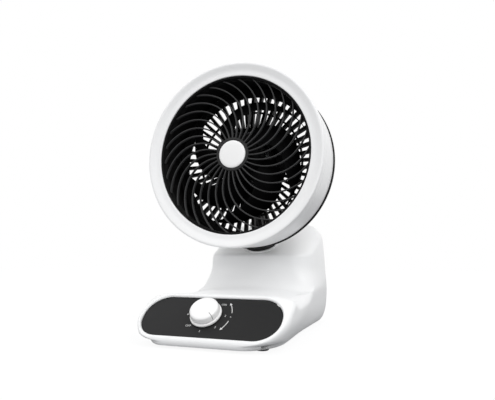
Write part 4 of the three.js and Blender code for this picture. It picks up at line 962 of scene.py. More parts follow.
    def skin(self, inset: float, detail: int, corner: int, side: int, reach: float = 0.0) -> np.ndarray:
        """Level outlines of the whole skin, all at once.

        Each outline runs from the front middle along a straight, a corner ellipse
        (W - a(1 - sin t), f + b(1 - cos t)), the side W(y), a rear corner ellipse and the rear
        edge, and back on the left; f is the front profile's y at that level.

        Args:
            inset: How far inside the outer skin.
            detail: Steps on each arc of the front profile.
            corner: Points on each corner.
            side: Points on each side.
            reach: Carries the form this far below the underside.

        Returns:
            (levels, points, 3) array, counter-clockwise as seen from above.
        """
        rows = self.profile(inset, detail)
        if inset > 0:
            lip = self.profile(0.0, detail)[0, 0] + inset
            rows = np.concatenate([[[lip, self.underside - reach], [lip, self.underside]], rows])
        front, level = rows[:, 0:1], rows[:, 1:2]
        z = np.maximum(level, self.underside)
        rear = self.rear - inset - self.top_round(z, self.shoulder, inset)
        rear = rear - self.bottom_inset(z, self.bottom_round)
        length = rear - front
        rise = ease(z, self.valley - 2, self.valley + 12)
        crown = ease(z, self.crown_start, self.apex)
        low = 1 - ease(z, *self.foot_levels)
        overhang = self.half_width(front, z, inset) + inset - self.rim_half_length(np.minimum(z, self.valley))
        lobe = np.maximum(6.0, overhang + 6)
        front_x = (lobe + 6 * low) * (1 - rise) + self.column_corner * rise
        front_x = front_x * (1 - crown) + self.shoulder_round * crown
        long = lobe * 1.1 + 8 + 16 * low
        long = long * (1 - rise) + (self.column_corner + 3) * rise + 26 * crown
        front_y, rear_y = np.minimum(long, 0.5 * length), np.minimum(self.rear_corner, 0.5 * length)
        rear_x = self.rear_corner + (self.shoulder_round - self.rear_corner) * crown
        a = np.linspace(0, math.pi / 2, corner)[None]
        t = np.linspace(0, 1, side + 2)[None, 1:-1]
        y_front = front + front_y * (1 - np.cos(a))
        y_side = front + front_y + t * (length - front_y - rear_y)
        y_rear = rear - rear_y * (1 - np.sin(a))
        x_front = self.half_width(y_front, z, inset) - front_x * (1 - np.sin(a))
        x_side = self.half_width(y_side, z, inset)
        x_rear = self.half_width(y_rear, z, inset) - rear_x * (1 - np.cos(a))
        u = np.linspace(0, 1, 9)[None, :-1]
        back = (1 - u[:, 1:]) * x_rear[:, -1:]
        x = np.concatenate([u * x_front[:, :1], x_front, x_side, x_rear, back], axis=1)
        y = np.concatenate([front + 0 * u, y_front, y_side, y_rear, rear + 0 * back], axis=1)
        half = np.stack([x, y, level + 0 * x], axis=-1)
        left = half[:, :0:-1] * np.array([-1, 1, 1])
        return np.concatenate([half, np.stack([0 * rear, rear, level], axis=-1), left], axis=1)

    def arched(self, points: np.ndarray) -> np.ndarray:
        """Lets the flat between rim and column fall away to both sides, and lifts the toe.

        Each point goes down by sag times smooth steps of its distance from the middle, of its
        place between rim and column, and of its height, and up by lift times smooth steps of its
        nearness to the front edge and to the underside.

        Args:
            points: (..., 3) points.

        Returns:
            The moved points.
        """
        x, y, z = np.moveaxis(points, -1, 0)
        across = ease(np.abs(x), *self.sag_across)
        share = across * ease(y, *self.sag_start) * (1 - ease(y, *self.sag_end)) * ease(z, *self.sag_levels)
        toe = (1 - ease(y, *self.toe_run)) * (1 - ease(z, *self.toe_levels))
        return np.stack([x, y, z - self.sag * share + self.lift * toe], axis=-1)

    def floor_plate(self) -> Form:
        """Bottom cover: a flat plate that fills the lower lip.

        Returns:
            The plate, its edges broken by shrinking the first and last outlines.
        """
        outline = self.skin(self.wall + 0.3, 2, 9, 12)[0] * np.array([1, 1, 0])
        levels = np.array([0.3, 0.3, 0.7, 2.9, 2.9])
        share = np.array([0.98, 0.994, 1.0, 1.0, 0.98])
        rows = outline[None] * np.stack([share, share, 0 * share], axis=1)[:, None]
        return tube(self.arched(rows + (self.underside + levels)[:, None, None] * np.array([0, 0, 1])))

    def recess(self) -> Form:
        """Cutter for the panel: its mouth widens by R (1 - cos t) to round the rim's inner edge.

        Returns:
            The cutter in the part's frame.
        """
        gap, radius = self.panel_gap, self.mouth_round
        t = np.linspace(0, math.pi / 2, 9)
        grow = np.concatenate([[gap, gap], gap + radius * (1 - np.cos(t)), [gap + radius + 0.001]])
        height = np.concatenate([[-14, -4], self.panel.proud - radius + radius * np.sin(t), [8]])
        return self.panel.slab(grow, height)

    def build(self, shop: Workshop) -> None:
        """Makes the housing and dresses what is inside it.

        Args:
            shop: Where pieces are finished.
        """
        outer = tube(self.arched(self.skin(0.0, 12, 16, 22)))
        inner = tube(self.arched(self.skin(self.wall, 5, 9, 12, reach=6.0)))
        hole = placed(rod(self.hole, -4, 40, 96), self.roof.place())
        inlet = placed(rod(self.inlet_radius, -12, 12, 40), shift(0, self.rear, self.inlet_z) @ turn(90))
        mesh = carved("housing_skin", outer, [inner, self.recess(), hole, inlet])
        shop.piece("housing_skin", mesh, WHITE, Body.BASE, "base_housing", 40)
        shop.piece("floor_plate", self.floor_plate(), BLACK, Body.BASE, "bottom_cover")
        shop.dress(CAN, "run_capacitor")
        shop.dress(SHEET, "swing_plate")
        shop.dress(ALUMINIUM, "swing_motor")
        shop.dress(ACETAL, "neck_bush", "thrust_washer")
        shop.dress(BLACK, "switch_body")
        shop.dress(STEEL, "motor_standoff_left", "motor_standoff_right", "switch_nut")
        shop.dress(STEEL, *[f"cover_screw_{number}" for number in range(1, 5)])


@dataclass
class Feet:
    """Rubber feet and the cable grommet."""

    housing: Housing
    radius: float = 7.4
    places: tuple[tuple[str, float, float], ...] = (
        ("foot_front_left", -60.0, -118.0), ("foot_front_right", 60.0, -118.0),
        ("foot_rear_left", -60.0, 116.0), ("foot_rear_right", 60.0, 116.0))

    def build(self, shop: Workshop) -> None:
        """Makes the four feet with ribbed treads, and the grommet.

        Args:
            shop: Where pieces are finished.
        """
        r = self.radius
        foot = lathed([(0, 0.5, 0), (r - 4.4, 0.5, 0.3), (r - 4.0, 0, 0.3), (r - 0.9, 0, 0.6), (r, 0.9, 0.6),
                       (r, 3.0, 0.3), (2.4, 3.0, 0.1), (2.4, 5.2, 0.1), (3.4, 5.3, 0.2), (1.6, 7.4, 0.3),
                       (0, 7.6, 0)], 5, 48)
        for name, x, y in self.places:
            shop.piece(name + "_pad", placed(foot, shift(x, y, 0)), RUBBER, Body.BASE, name)
        grommet = lathed([(3.4, -4.9, 0.3), (7.3, -4.9, 0.4), (7.3, -2.9, 0.3), (5.5, -2.9, 0.1),
                          (5.5, 0.3, 0.1), (7.5, 0.3, 0.3), (7.5, 1.1, 0.5), (4.4, 1.1, 0.5),
                          (3.4, 0.6, 0.4)], 5, 48, ring=True)
        place = shift(0, self.housing.rear, self.housing.inlet_z) @ turn(-90)
        shop.piece("cord_grommet", placed(grommet, place), RUBBER, Body.BASE, "cord_inlet")


# ---------------------------------------------------------------- controls


@dataclass
class Controls:
    """Charcoal panel, dial marks and the two-step knob."""

    panel: Panel
    knob_radius: float = 18.2
    skirt: float = 3.9
    cap_radius: float = 17.0
    height: float = 12.6
    knob_angle: float = -38.0
    mark_radius: float = 22.8
    arrow_radius: float = 29.5
    letter: float = 3.9
    unit_letter: float = 3.0
    unit_angle: float = -2.0
    marks: tuple[str, ...] = ("1", "2", "3", "ON", "4", "5", "6", "OFF")
    first_mark: float = -90.0
    arrows: tuple[tuple[float, float], ...] = ((9.0, 39.0), (-13.0, -41.0))

    def plate(self) -> Form:
        """Panel plate with a soft upper edge: out by R cos t - R, up by R sin t - R.

        Returns:
            The plate in the part's frame.
        """
        t = np.linspace(0, math.pi / 2, 5)
        grow = np.concatenate([[-0.6, 0.0], 0.6 * np.cos(t) - 0.6, [-1.6]])
        return self.panel.slab(grow, np.concatenate([[-2.2, -2.0], 0.6 * np.sin(t) - 0.6, [0.0]]))

    def knob_profile(self) -> np.ndarray:
        """Outline of the knob from its underside to the middle of its face.

        Returns:
            (n, 2) points of radius and height.
        """
        r, c, h, s = self.knob_radius, self.cap_radius, self.height, self.skirt
        return softened([(0, 0.8, 0), (r - 0.4, 0.8, 0.3), (r, 1.4, 0.4), (r - 0.1, s - 0.5, 0.7),
                         (c - 0.6, s, 0.3), (c - 0.6, s + 0.7, 0.3), (c + 0.1, s + 1.0, 0.5),
                         (c - 0.7, h - 1.6, 1.6), (c - 3.0, h - 0.1, 2.6), (c - 5.4, h, 1.0),
                         (c - 6.0, h - 0.3, 0.5), (0, h - 0.1, 0)], 9)

    def pointer(self) -> Form:
        """Pointer line: a strip over the cap's shoulder, standing 0.1 mm out of the knob's profile.

        Each point of the strip is a profile point moved by its unit normal, outwards for the
        face and inwards for the back.

        Returns:
            The strip on the knob's frame, along X.
        """
        line = self.knob_profile()
        line = line[(line[:, 0] > self.cap_radius - 5.2) & (line[:, 1] > self.skirt + 1.0)]
        out, half = -normals(line), 0.27
        corners = [(0.1, -half), (0.1, half), (-0.5, half), (-0.5, -half)]
        rails = [(line + proud * out, np.full(len(line), across)) for proud, across in corners]
        return tube(np.stack([np.stack([at[:, 0], x, at[:, 1]], axis=-1) for at, x in rails], axis=1))

    def arc_arrow(self, start: float, end: float) -> Form:
        """A printed arc with an arrowhead at its end.

        The band's edges are (R - w, R + w) times (cos a, sin a); over its last part w widens to
        the arrowhead and then falls to nothing.

        Args:
            start: Angle where it begins, in degrees.
            end: Angle of its tip.

        Returns:
            A thin closed form on the knob's frame.
        """
        t = np.concatenate([np.linspace(0, 0.80, 22), [0.801], np.linspace(0.82, 1.0, 6)])
        half = np.where(t <= 0.80, 0.42, 1.65 * (1 - t) / 0.199 + 0.02)
        a = np.radians(start + (end - start) * t)
        inner, outer = self.arrow_radius - half, self.arrow_radius + half
        corners = [(inner, 0.02), (outer, 0.02), (outer, 0.12), (inner, 0.12)]
        rails = [np.stack([r * np.cos(a), r * np.sin(a), np.full(len(t), z)], axis=-1) for r, z in corners]
        rows = np.stack(rails, axis=1)
        return tube(rows if end < start else rows[:, ::-1])

    def lettering(self, text: str, angle: float, radius: float, size: float) -> Form:
        """One printed mark of the dial as a mesh.

        Args:
            text: Digits or letters.
            angle: Where it stands round the knob, in degrees.
            radius: How far from the knob's axis.
            size: Height of the letters.

        Returns:
            The mark's form on the knob's frame.
        """
        curve = bpy.data.curves.new("mark", "FONT")
        curve.body, curve.size, curve.extrude, curve.resolution_u = text, size, 0.05, 3
        curve.align_x, curve.align_y = "CENTER", "CENTER"
        holder = linked("mark", curve)
        mesh = finished_mesh(holder)
        points = np.zeros(len(mesh.vertices) * 3, np.float32)
        mesh.vertices.foreach_get("co", points)
        mesh.calc_loop_triangles()
        triangles = np.zeros(len(mesh.loop_triangles) * 3, np.int32)
        mesh.loop_triangles.foreach_get("vertices", triangles)
        bpy.data.objects.remove(holder)
        bpy.data.curves.remove(curve)
        bpy.data.meshes.remove(mesh)
        a = math.radians(angle)
        centre = np.array([radius * math.cos(a), radius * math.sin(a), 0.07])
        return points.reshape(-1, 3).astype(float) + centre, [triangles.reshape(-1, 3)]

    def build(self, shop: Workshop) -> None:
        """Makes panel, marks, knob and pointer.

        Args:
            shop: Where pieces are finished.
        """
        place = self.panel.knob_place()
        step = 360 / len(self.marks)
        forms = [self.lettering(text, self.first_mark + i * step, self.mark_radius, self.letter)
                 for i, text in enumerate(self.marks)]
        forms += [self.lettering("h", self.unit_angle, self.arrow_radius, self.unit_letter)]
        forms += [self.arc_arrow(start, end) for start, end in self.arrows]
        turned_place = place @ turn(self.knob_angle, "Z")
        knob = placed(turned(self.knob_profile(), 128), turned_place)
        shop.piece("panel_plate", self.plate(), CHARCOAL, Body.BASE, "control_panel")
        shop.piece("dial_marks", placed(joined(forms), place), MARK, Body.BASE)
        shop.piece("knob_cap", knob, WHITE_KNOB, Body.DIAL, "knob", 32)
        shop.piece("knob_pointer_line", placed(self.pointer(), turned_place), INK, Body.DIAL, "knob_pointer")
        shop.dress(BRASS, "switch_shaft")


# ---------------------------------------------------------------- neck


@dataclass
class Neck:
    """White collar, black ball and its hinge cheeks."""

    roof: Roof
    ball: float = 23.0
    flat_z: float = 91.3
    to_top: float = 6.66
    collar_width: float = 3.2
    collar_proud: float = 2.0
    cheek: float = 9.0
    cheek_thickness: float = 3.6
    inner: float = 9.2
    socket: float = 7.3

    def collar(self) -> Form:
        """Collar round the neck opening.

        Returns:
            A ring of softened section on the roof's frame.
        """
        top, high = self.to_top, self.to_top + self.collar_proud
        inside = math.sqrt(self.ball**2 - top**2) + 0.8
        outside = inside + self.collar_width
        below = math.sqrt(self.ball**2 - (top - 3.2) ** 2) + 0.8
        ring = lathed([(below, top - 3.2, 0.1), (outside - 1.6, top - 3.2, 0.1),
                       (outside - 1.6, top + 0.1, 0.05), (outside, top + 0.1, 0.05),
                       (outside, high - 0.2, 1.2), (inside + 0.3, high, 1.2), (inside, top, 0.5)],
                      8, 128, ring=True)
        return placed(ring, self.roof.place())

    def ball_form(self) -> Form:
        """Ball with a flat underside: r = R cos a, h = R sin a above the flat.

        Returns:
            The ball about the upright axis.
        """
        lowest = math.asin((self.flat_z - self.roof.ball_z) / self.ball)
        a = np.linspace(lowest, math.pi / 2, 48)
        arc = np.stack([self.ball * np.cos(a), self.roof.ball_z + self.ball * np.sin(a)], axis=1)
        arc[-1, 0] = 0.0
        return placed(turned(np.concatenate([[[0, self.flat_z]], arc]), 96), shift(0, self.roof.y, 0))

    def cheeks(self) -> Form:
        """Two upright cheeks with round tops and softened edges.

        Returns:
            Both cheeks, each a row of D-shaped outlines across its thickness.
        """
        a = np.radians(np.linspace(0, 180, 33))
        centre = np.array([0, self.roof.hinge_z])
        round_top = centre + self.cheek * np.stack([np.cos(a), np.sin(a)], axis=1)
        foot_z = self.roof.ball_z + 3
        outline = np.concatenate([round_top, [[-self.cheek, foot_z], [self.cheek, foot_z]]])
        rows = centre + (outline[None] - centre) * np.array([0.93, 1.0, 1.0, 0.93])[:, None, None]
        x = self.inner + np.array([0, 0.6, self.cheek_thickness - 0.6, self.cheek_thickness])
        right = np.stack([x[:, None] + 0 * rows[..., 0], self.roof.y + rows[..., 0], rows[..., 1]], axis=-1)
        return joined([tube(right), tube(right[::-1] * np.array([-1, 1, 1]))])

    def build(self, shop: Workshop) -> None:
        """Makes the neck's pieces and dresses the swing drive.

        Args:
            shop: Where pieces are finished.
        """
        y, wide, low = self.roof.y, self.inner, self.roof.hinge_z - self.cheek - 2.5
        near, far = y - 30, y + 30
        slot = np.array([[-wide, near, low], [wide, near, low], [wide, far, low], [-wide, far, low]])
        socket = placed(rod(self.socket, 86, 101.3, 48), shift(0, y, 0))
        ball = carved("neck_ball", self.ball_form(), [tube(np.stack([slot, slot + [0, 0, 40]])), socket])
        shop.piece("neck_collar_ring", self.collar(), WHITE_RING_SHADED, Body.BASE, "neck_collar")
        shop.piece("neck_ball", ball, BLACK, Body.NECK, "swivel_neck")
        shop.piece("neck_cheeks", self.cheeks(), BLACK, Body.NECK, "swivel_neck")
        shop.dress(STEEL, "neck_shaft", "gear_clip", "tilt_bolt", "tilt_nut", "swing_shaft")
        shop.dress(ACETAL, "sector_gear", "tilt_washer_left", "tilt_washer_right")
        shop.dress(BRASS, "swing_pinion")


# ---------------------------------------------------------------- head


@dataclass
class HeadFrame:
    """Place of the head: forms are made about Z with depth as height, then laid down."""

    y: float = -59.2
    z: float = 228.0
    ring: float = 120.0
    opening: float = 103.2
    drum_rear: float = 68.0
    taper: float = 2.4

    def laid(self, form: Form) -> Form:
        """A head form in the part's frame: depth runs to the rear and local -Y becomes up."""
        return placed(form, shift(0, self.y, self.z) @ turn(-90))

    def outer_at(self, depth: float) -> float:
        """Drum's outer radius at a depth."""
        return self.ring - self.taper * depth / self.drum_rear


@dataclass
class DrumShell:
    """White front ring and drum."""

    head: HeadFrame
    wall: float = 2.4
    seam: float = 10.0

    def ring_form(self) -> Form:
        """Front ring: inner lip, shallow dish and round outer lip, as one closed section.

        Returns:
            The ring in the head's frame.
        """
        o, r, s = self.head.opening, self.head.ring, self.seam
        outer = self.head.outer_at(s)
        return lathed([(o, 11.2, 0.1), (o, -0.9, 1.2), (o + 1.8, -1.2, 0.8), (o + 6.5, -1.5, 4.0),
                       (r - 5.4, -3.5, 3.0), (r - 2.6, -4.6, 1.6), (r - 0.3, -4.2, 1.8), (r, -0.6, 1.6),
                       (outer, s - 0.4, 0.2), (outer - 0.5, s, 0.2), (outer - 3.0, s, 0.05),
                       (outer - 3.0, s + 4, 0.05), (outer - 5.0, s + 4, 0.05), (outer - 5.0, 2, 0.5),
                       (o + 2.4, 1.6, 0.5), (o + 2.4, 11.2, 0.1)], 9, 192, ring=True)

    def drum_form(self) -> Form:
        """Drum wall between ring and rear grille, with a small step at the seam.

        Returns:
            The drum in the head's frame.
        """
        front, rear, wall = self.seam + 0.3, self.head.drum_rear, self.wall
        a, b = self.head.outer_at(front), self.head.outer_at(rear)
        depth = np.linspace(front + 0.6, rear - 0.5, 24)
        outside = np.stack([a + (b - a) * (depth - front) / (rear - front), depth], axis=1)
        outline = [[[a - wall, front], [a - 0.5, front]], outside, [[b - 0.4, rear], [b - wall, rear]]]
        return turned(np.concatenate(outline), 192, ring=True)

    def build(self, shop: Workshop) -> None:
        """Makes ring and drum.

        Args:
            shop: Where pieces are finished.
        """
        laid = self.head.laid
        shop.piece("front_ring_lip", laid(self.ring_form()), WHITE_RING_SHADED, Body.HEAD, "front_ring")
        shop.piece("drum_wall", laid(self.drum_form()), WHITE_RING_SHADED, Body.HEAD, "drum_shell")


@dataclass
class FrontGrille:
    """Domed front grille: rim, thirty swept ribs, hub ring and white hub cap."""

    head: HeadFrame
    depth: float = 4.4
    dome: float = 2.6
    rear: float = 12.4
    ribs: int = 30
    rib_width: float = 1.7
    rib_height: float = 4.2
    sweep: float = 45.0
    phase: float = -5.8
    rim_width: float = 2.4
    hub: float = 22.0
    cap: float = 18.0

    def face(self, radius: np.ndarray | float) -> np.ndarray | float:
        """Depth of the domed face: depth - dome (1 - (r / R)^2)."""
        return self.depth - self.dome * (1 - (radius / self.head.opening) ** 2)

    def swirl(self, radius: np.ndarray) -> np.ndarray:
        """Angle of a rib: sweep (0.25 t + 0.75 t^2), t running from hub ring to rim."""
        t = (radius - self.hub) / (self.head.opening - self.rim_width / 2 - self.hub)
        return -np.radians(self.sweep * (0.25 * t + 0.75 * t * t))

    def rib(self) -> Form:
        """One rib: a fin with a round front edge, carried along the spiral over the dome.

        The section's point (u, v) sits at C(r) + u N(r), v deeper than the face, N being the
        spiral's normal in the plane of the grille.

        Returns:
            The rib in the head's frame.
        """
        r = np.linspace(self.hub - 1.0, self.head.opening - self.rim_width / 2 - 0.3, 30)
        a = self.swirl(r)
        line = np.stack([r * np.cos(a), r * np.sin(a)], axis=1)
        half, h = self.rib_width / 2, self.rib_height
        t = np.radians(np.linspace(180, 360, 7))
        u = np.concatenate([half * np.cos(t), [half * 0.8, -half * 0.8]])
        v = np.concatenate([half + half * np.sin(t), [h, h]])
        flat = line[:, None] + normals(line)[:, None] * u[None, :, None]
        depth = self.face(r)[:, None] + v[None]
        return tube(np.concatenate([flat, depth[..., None]], axis=-1)[:, ::-1])

    def build(self, shop: Workshop) -> None:
        """Makes the grille and its cap.

        Args:
            shop: Where pieces are finished.
        """
        laid = self.head.laid
        o, w, h, c = self.head.opening - 0.3, self.rim_width, self.rib_height, self.cap
        face = float(self.face(self.hub)) - 0.6
        back, front = face + 2.1, face - 1.2
        rim = lathed([(o - w, 0.9, 0.6), (o, -0.1, 0.5), (o, self.rear, 0.3), (o - w, self.rear, 0.3)],
                     5, 192, ring=True)
        hub = lathed([(0, face + 2.4, 0), (c + 0.3, face + 2.4, 0.1), (c + 0.3, face, 0.4),
                      (self.hub, face, 1.0), (self.hub, face + h + 1, 0.4), (0, face + h + 1, 0)], 5, 96)
        cap = lathed([(0, back, 0), (c, back, 0.2), (c, front + 0.6, 1.6), (c - 3.0, front - 0.1, 3.0),
                      (0, front - 0.6, 0)], 9, 128)
        ribs = repeated(self.rib(), -self.phase - 360.0 * np.arange(self.ribs) / self.ribs)
        shop.piece("grille_rim", laid(rim), REAR_SHADE_BLACK, Body.HEAD, "front_grille")
        shop.piece("grille_hub", laid(hub), BLACK, Body.HEAD, "front_grille")
        shop.piece("grille_ribs", laid(ribs), GRILLE, Body.HEAD, "front_grille")
        shop.piece("hub_cap_disc", laid(cap), WHITE_KNOB, Body.HEAD, "hub_cap")


@dataclass
class RearGrille:
    """Black rear grille with two rows of radial slots, motor seat, motor cover and arm."""

    head: HeadFrame
    roof: Roof
    face: float = 69.5
    thickness: float = 2.6
    rim_depth: float = 78.0
    rim_radius: float = 119.0
    skirt: float = 14.5
    cup: float = 45.0
    seat_inner: float = 36.4
    seat_outer: float = 53.8
    middle: float = 73.5
    outer: float = 97.5
    ring_width: float = 2.8
    bars: int = 50
    bar_width: float = 4.0
    bar_depth: float = 8.0
    cover: float = 47.0
    cover_depth: float = 30.0
    tongue: float = 7.2
    arm_half: float = 7.4
    arm_swell: float = 7.6
    arm_swell_zone: Span = (0.28, 0.75)
    arm_corner: float = 0.55

    def rim(self) -> Form:
        """Rim that caps the drum's rear edge, with the dark skirt that lines the drum.

        Returns:
            A closed ring section.
        """
        f, b, o, r, d = self.face, self.face + self.thickness, self.outer, self.rim_radius, self.rim_depth
        inner = self.head.outer_at(68) - 2.4
        return lathed([(o, f, 0.3), (inner - 5, f, 1.5), (inner - 1.6, self.skirt, 0.3),
                       (inner - 0.4, self.skirt, 0.3), (inner - 0.3, 68.3, 0.1), (r, 68.3, 0.4),
                       (r, d - 2, 2.5), (r - 4.5, d, 2.5), (inner - 7, b + 0.4, 2.0), (o, b, 0.3)],
                      7, 192, ring=True)

    def rings(self) -> Form:
        """Ring between the rows of slots, and the solid seat with the cup round the motor.

        Returns:
            The rings as one form.
        """
        f, b, i, o = self.face, self.face + self.thickness, self.seat_inner, self.seat_outer
        cup, m, w = i + 1.8, self.middle, self.ring_width
        seat = lathed([(i, self.cup, 0.3), (cup, self.cup, 0.3), (cup, f, 0.5), (o, f, 0.3), (o, b, 0.3),
                       (i, b, 0.3)], 4, 128, ring=True)
        middle = lathed([(m, f, 0.3), (m + w, f, 0.3), (m + w, b, 0.3), (m, b, 0.3)], 4, 128, ring=True)
        return joined([seat, middle])

    def bars_form(self) -> Form:
        """Radial bars across both rows: boxes of a softened section from seat to rim.

        Returns:
            All the bars.
        """
        r = np.array([self.seat_outer - 1.3, self.outer + 1.5])[:, None]
        half, soft = self.bar_width / 2, 0.4
        low, high = self.face + self.thickness - self.bar_depth, self.face + self.thickness
        across = np.array([-half, -half + soft, half - soft, half, half, -half])
        depth = np.array([low + soft, low, low, low + soft, high, high])
        sections = np.stack([r + 0 * across, across + 0 * r, depth + 0 * r], axis=-1)
        return repeated(tube(sections), 360.0 * np.arange(self.bars) / self.bars)

    def cover_mesh(self) -> bpy.types.Mesh:
        """Motor cover: a round-cornered cup with cooling slots round its upper half.

        Returns:
            The mesh in the part's frame.
        """
        c, f = self.cover, self.face + self.thickness + 0.3
        b = f + self.cover_depth
        profile = softened([(c - 2.2, f, 0.2), (c + 3, f, 0.3), (c + 3, f + 2, 0.8), (c, f + 3, 0.8),
                            (c - 2, b - 8, 3.0), (c - 8, b, 7.0), (0, b, 0), (0, b - 2.2, 0),
                            (c - 9.6, b - 2.2, 5.0), (c - 4.2, b - 9, 3.0)], 8, closed=True)
        outer_pole = int(np.argmin(profile[:, 0] + np.where(np.abs(profile[:, 1] - b) < 0.01, 0, 1e3)))
        cup = turned(np.roll(profile, -outer_pole, axis=0), 128)
        a = np.radians(np.linspace(0, 360, 16, endpoint=False))
        long, wide = (self.cover_depth - 17) / 2, 1.5
        z = f + 6 + long + np.where(np.sin(a) > 0, long - wide, wide - long) + wide * np.sin(a)
        rows = [np.stack([np.full(16, radius), wide * np.cos(a), z], axis=-1) for radius in (c - 14, c + 6)]
        slots = repeated(tube(np.stack(rows)), -np.arange(36, 145, 12.0))
        return carved("motor_cover_cup", self.head.laid(cup), [self.head.laid(slots)])

    def arm(self) -> Form:
        """Arm from the motor cover to the hinge: superellipse sections between a front and a back curve.

        Front and back curves are cubic Beziers in the side view; a section at t joins them, with
        the half width growing from the tongue to the broad top.

        Returns:
            The arm in the part's frame.
        """
        hy, hz = self.roof.y, self.roof.hinge_z
        top = self.head.z - self.cover
        back = self.head.y + self.face + self.thickness + self.cover_depth - 4
        near = self.head.y + self.face + self.thickness + 8
        t = np.linspace(0, 1, 40)[:, None]
        weights = np.concatenate([(1 - t) ** 3, 3 * t * (1 - t) ** 2, 3 * t * t * (1 - t), t**3], axis=1)
        front = weights @ np.array([(hy - self.tongue, hz - 2), (hy - 15, hz + 13),
                                    (near + 2, top - 13), (near, top + 8)])
        rear = weights @ np.array([(hy + self.tongue, hz - 2), (hy + 3, hz + 23),
                                   (back + 7, top - 14), (back, top + 12)])
        a = np.radians(np.linspace(0, 360, 40, endpoint=False))
        across = np.sign(np.cos(a)) * np.abs(np.cos(a)) ** self.arm_corner
        between = np.sign(np.sin(a)) * np.abs(np.sin(a)) ** self.arm_corner
        width = self.arm_half + self.arm_swell * ease(t, *self.arm_swell_zone)
        middle, reach = (front + rear) / 2, (rear - front) / 2
        yz = middle[:, None] + reach[:, None] * between[None, :, None]
        body = np.concatenate([(width * across[None])[..., None], yz], axis=-1)
        low, centre = body[0], body[0].mean(0)
        sink = np.radians(np.linspace(90, 0, 9))[:-1]
        drop = np.stack([0 * sink, 0 * sink, -self.tongue * np.sin(sink)], axis=-1)
        shrink = np.stack([np.full(8, 1.0), np.cos(sink), np.full(8, 1.0)], axis=-1)
        rounded = centre + (low - centre)[None] * shrink[:, None] + drop[:, None]
        return tube(np.concatenate([rounded, body])[:, ::-1])

    def build(self, shop: Workshop) -> None:
        """Makes the rear of the head and dresses the motor.

        Args:
            shop: Where pieces are finished.
        """
        for name, form in (("rim", self.rim()), ("rings", self.rings()), ("bars", self.bars_form())):
            shop.piece("rear_" + name, self.head.laid(form), REAR_SHADE_BLACK, Body.HEAD, "rear_grille")
        shop.piece("motor_cover_cup", self.cover_mesh(), BLACK, Body.HEAD, "motor_cover")
        shop.piece("tilt_arm_form", self.arm(), BLACK, Body.HEAD, "tilt_arm")
        shop.dress(ALUMINIUM, "motor_front_bell", "motor_rear_bell", "rotor")
        shop.dress(COPPER, "stator")
        shop.dress(STEEL, "front_bearing", "rear_bearing", "motor_shaft")
        shop.dress(STEEL, *[f"motor_screw_{number}" for number in range(1, 4)])


@dataclass
class Impeller:
    """Black impeller: hub cup, swept blades and the cap nut."""

    head: HeadFrame
    blades: int = 5
    tip: float = 98.0
    hub: float = 33.0
    front: float = 13.0
    hub_depth: float = 26.0
    thickness: float = 2.2
    half_chord: float = 23.0
    rise: float = 25.0
    sweep: float = 108.0
    phase: float = 47.0
    narrowing: Span = (0.58, 0.94)
    least_span: float = 1.5
    camber: float = 2.0
    thinning: float = 0.35

    def blade(self) -> Form:
        """One blade: a cambered, twisted sickle with a rounded wing section.

        At radius r the middle of the chord trails by sweep (0.15 t + 0.85 t^2) and the chord
        spans twice its half span, which falls to the tip by a smooth step; depth rises along the
        chord with a slight camber of sin(pi s), and the half thickness is T times the lesser of 1
        and 2.2 sqrt(sin(pi s)), thinning to the tip, with s running from 0 to 1 along the chord.

        Returns:
            The blade in the head's frame.
        """
        t = np.linspace(0, 1, 30)[:, None]
        k = np.linspace(0, 1, 24)
        s = np.concatenate([k, k[-2:0:-1]])[None]
        side = np.concatenate([np.full(24, -1.0), np.full(22, 1.0)])[None]
        r = self.hub - 1.5 + (self.tip - self.hub + 1.5) * t
        middle = -self.sweep * (0.15 * t + 0.85 * t * t)
        half_span = self.half_chord * (1 - ease(t, *self.narrowing)) + self.least_span
        angle = -np.radians(self.phase + middle + half_span * (1 - 2 * s))
        rise = -self.rise * half_span / (self.half_chord + self.least_span)
        wing = np.clip(2.2 * np.sqrt(np.sin(math.pi * s) + 1e-6), 0, 1)
        half = self.thickness / 2 * wing * (1 - self.thinning * t)
        middle_depth = self.front + 1.5 + self.rise / 2 + rise * (s - 0.5)
        depth = middle_depth - self.camber * np.sin(math.pi * s) + side * half
        return tube(np.stack([r * np.cos(angle), r * np.sin(angle), depth], axis=-1))

    def build(self, shop: Workshop) -> None:
        """Makes the impeller and its cap nut.

        Args:
            shop: Where pieces are finished.
        """
        f, r, d, low = self.front, self.hub, self.hub_depth, self.front - 0.3
        hub = lathed([(4.3, f + 2.2, 0.1), (4.3, f, 0.3), (r - 5, f, 5.0), (r, f + 6, 5.0), (r, f + d, 0.4),
                      (r - 2, f + d, 0.4), (r - 2, f + 7, 4.0), (r - 6, f + 2.2, 3.0), (9, f + 2.2, 0.5),
                      (9, f + d - 4, 0.3), (4.3, f + d - 4, 0.3)], 7, 96, ring=True)
        nut = lathed([(0, low - 2.6, 0), (4.3, low - 2.6, 0.1), (4.3, low, 0.1), (11, low, 0.3),
                      (11, low - 1, 0.6), (9, low - 2.8, 1.0), (5, low - 4.2, 2.0), (0, low - 4.4, 0)], 6, 48)
        blades = repeated(self.blade(), 360.0 * np.arange(self.blades) / self.blades)
        shop.piece("impeller_hub", self.head.laid(hub), BLADE_SHADED, Body.FAN, "impeller")
        shop.piece("impeller_blades", self.head.laid(blades), BLADE_SHADED, Body.FAN, "impeller")
        shop.piece("impeller_cap_nut", self.head.laid(nut), BLADE_SHADED, Body.FAN, "impeller_nut")


# ---------------------------------------------------------------- studio


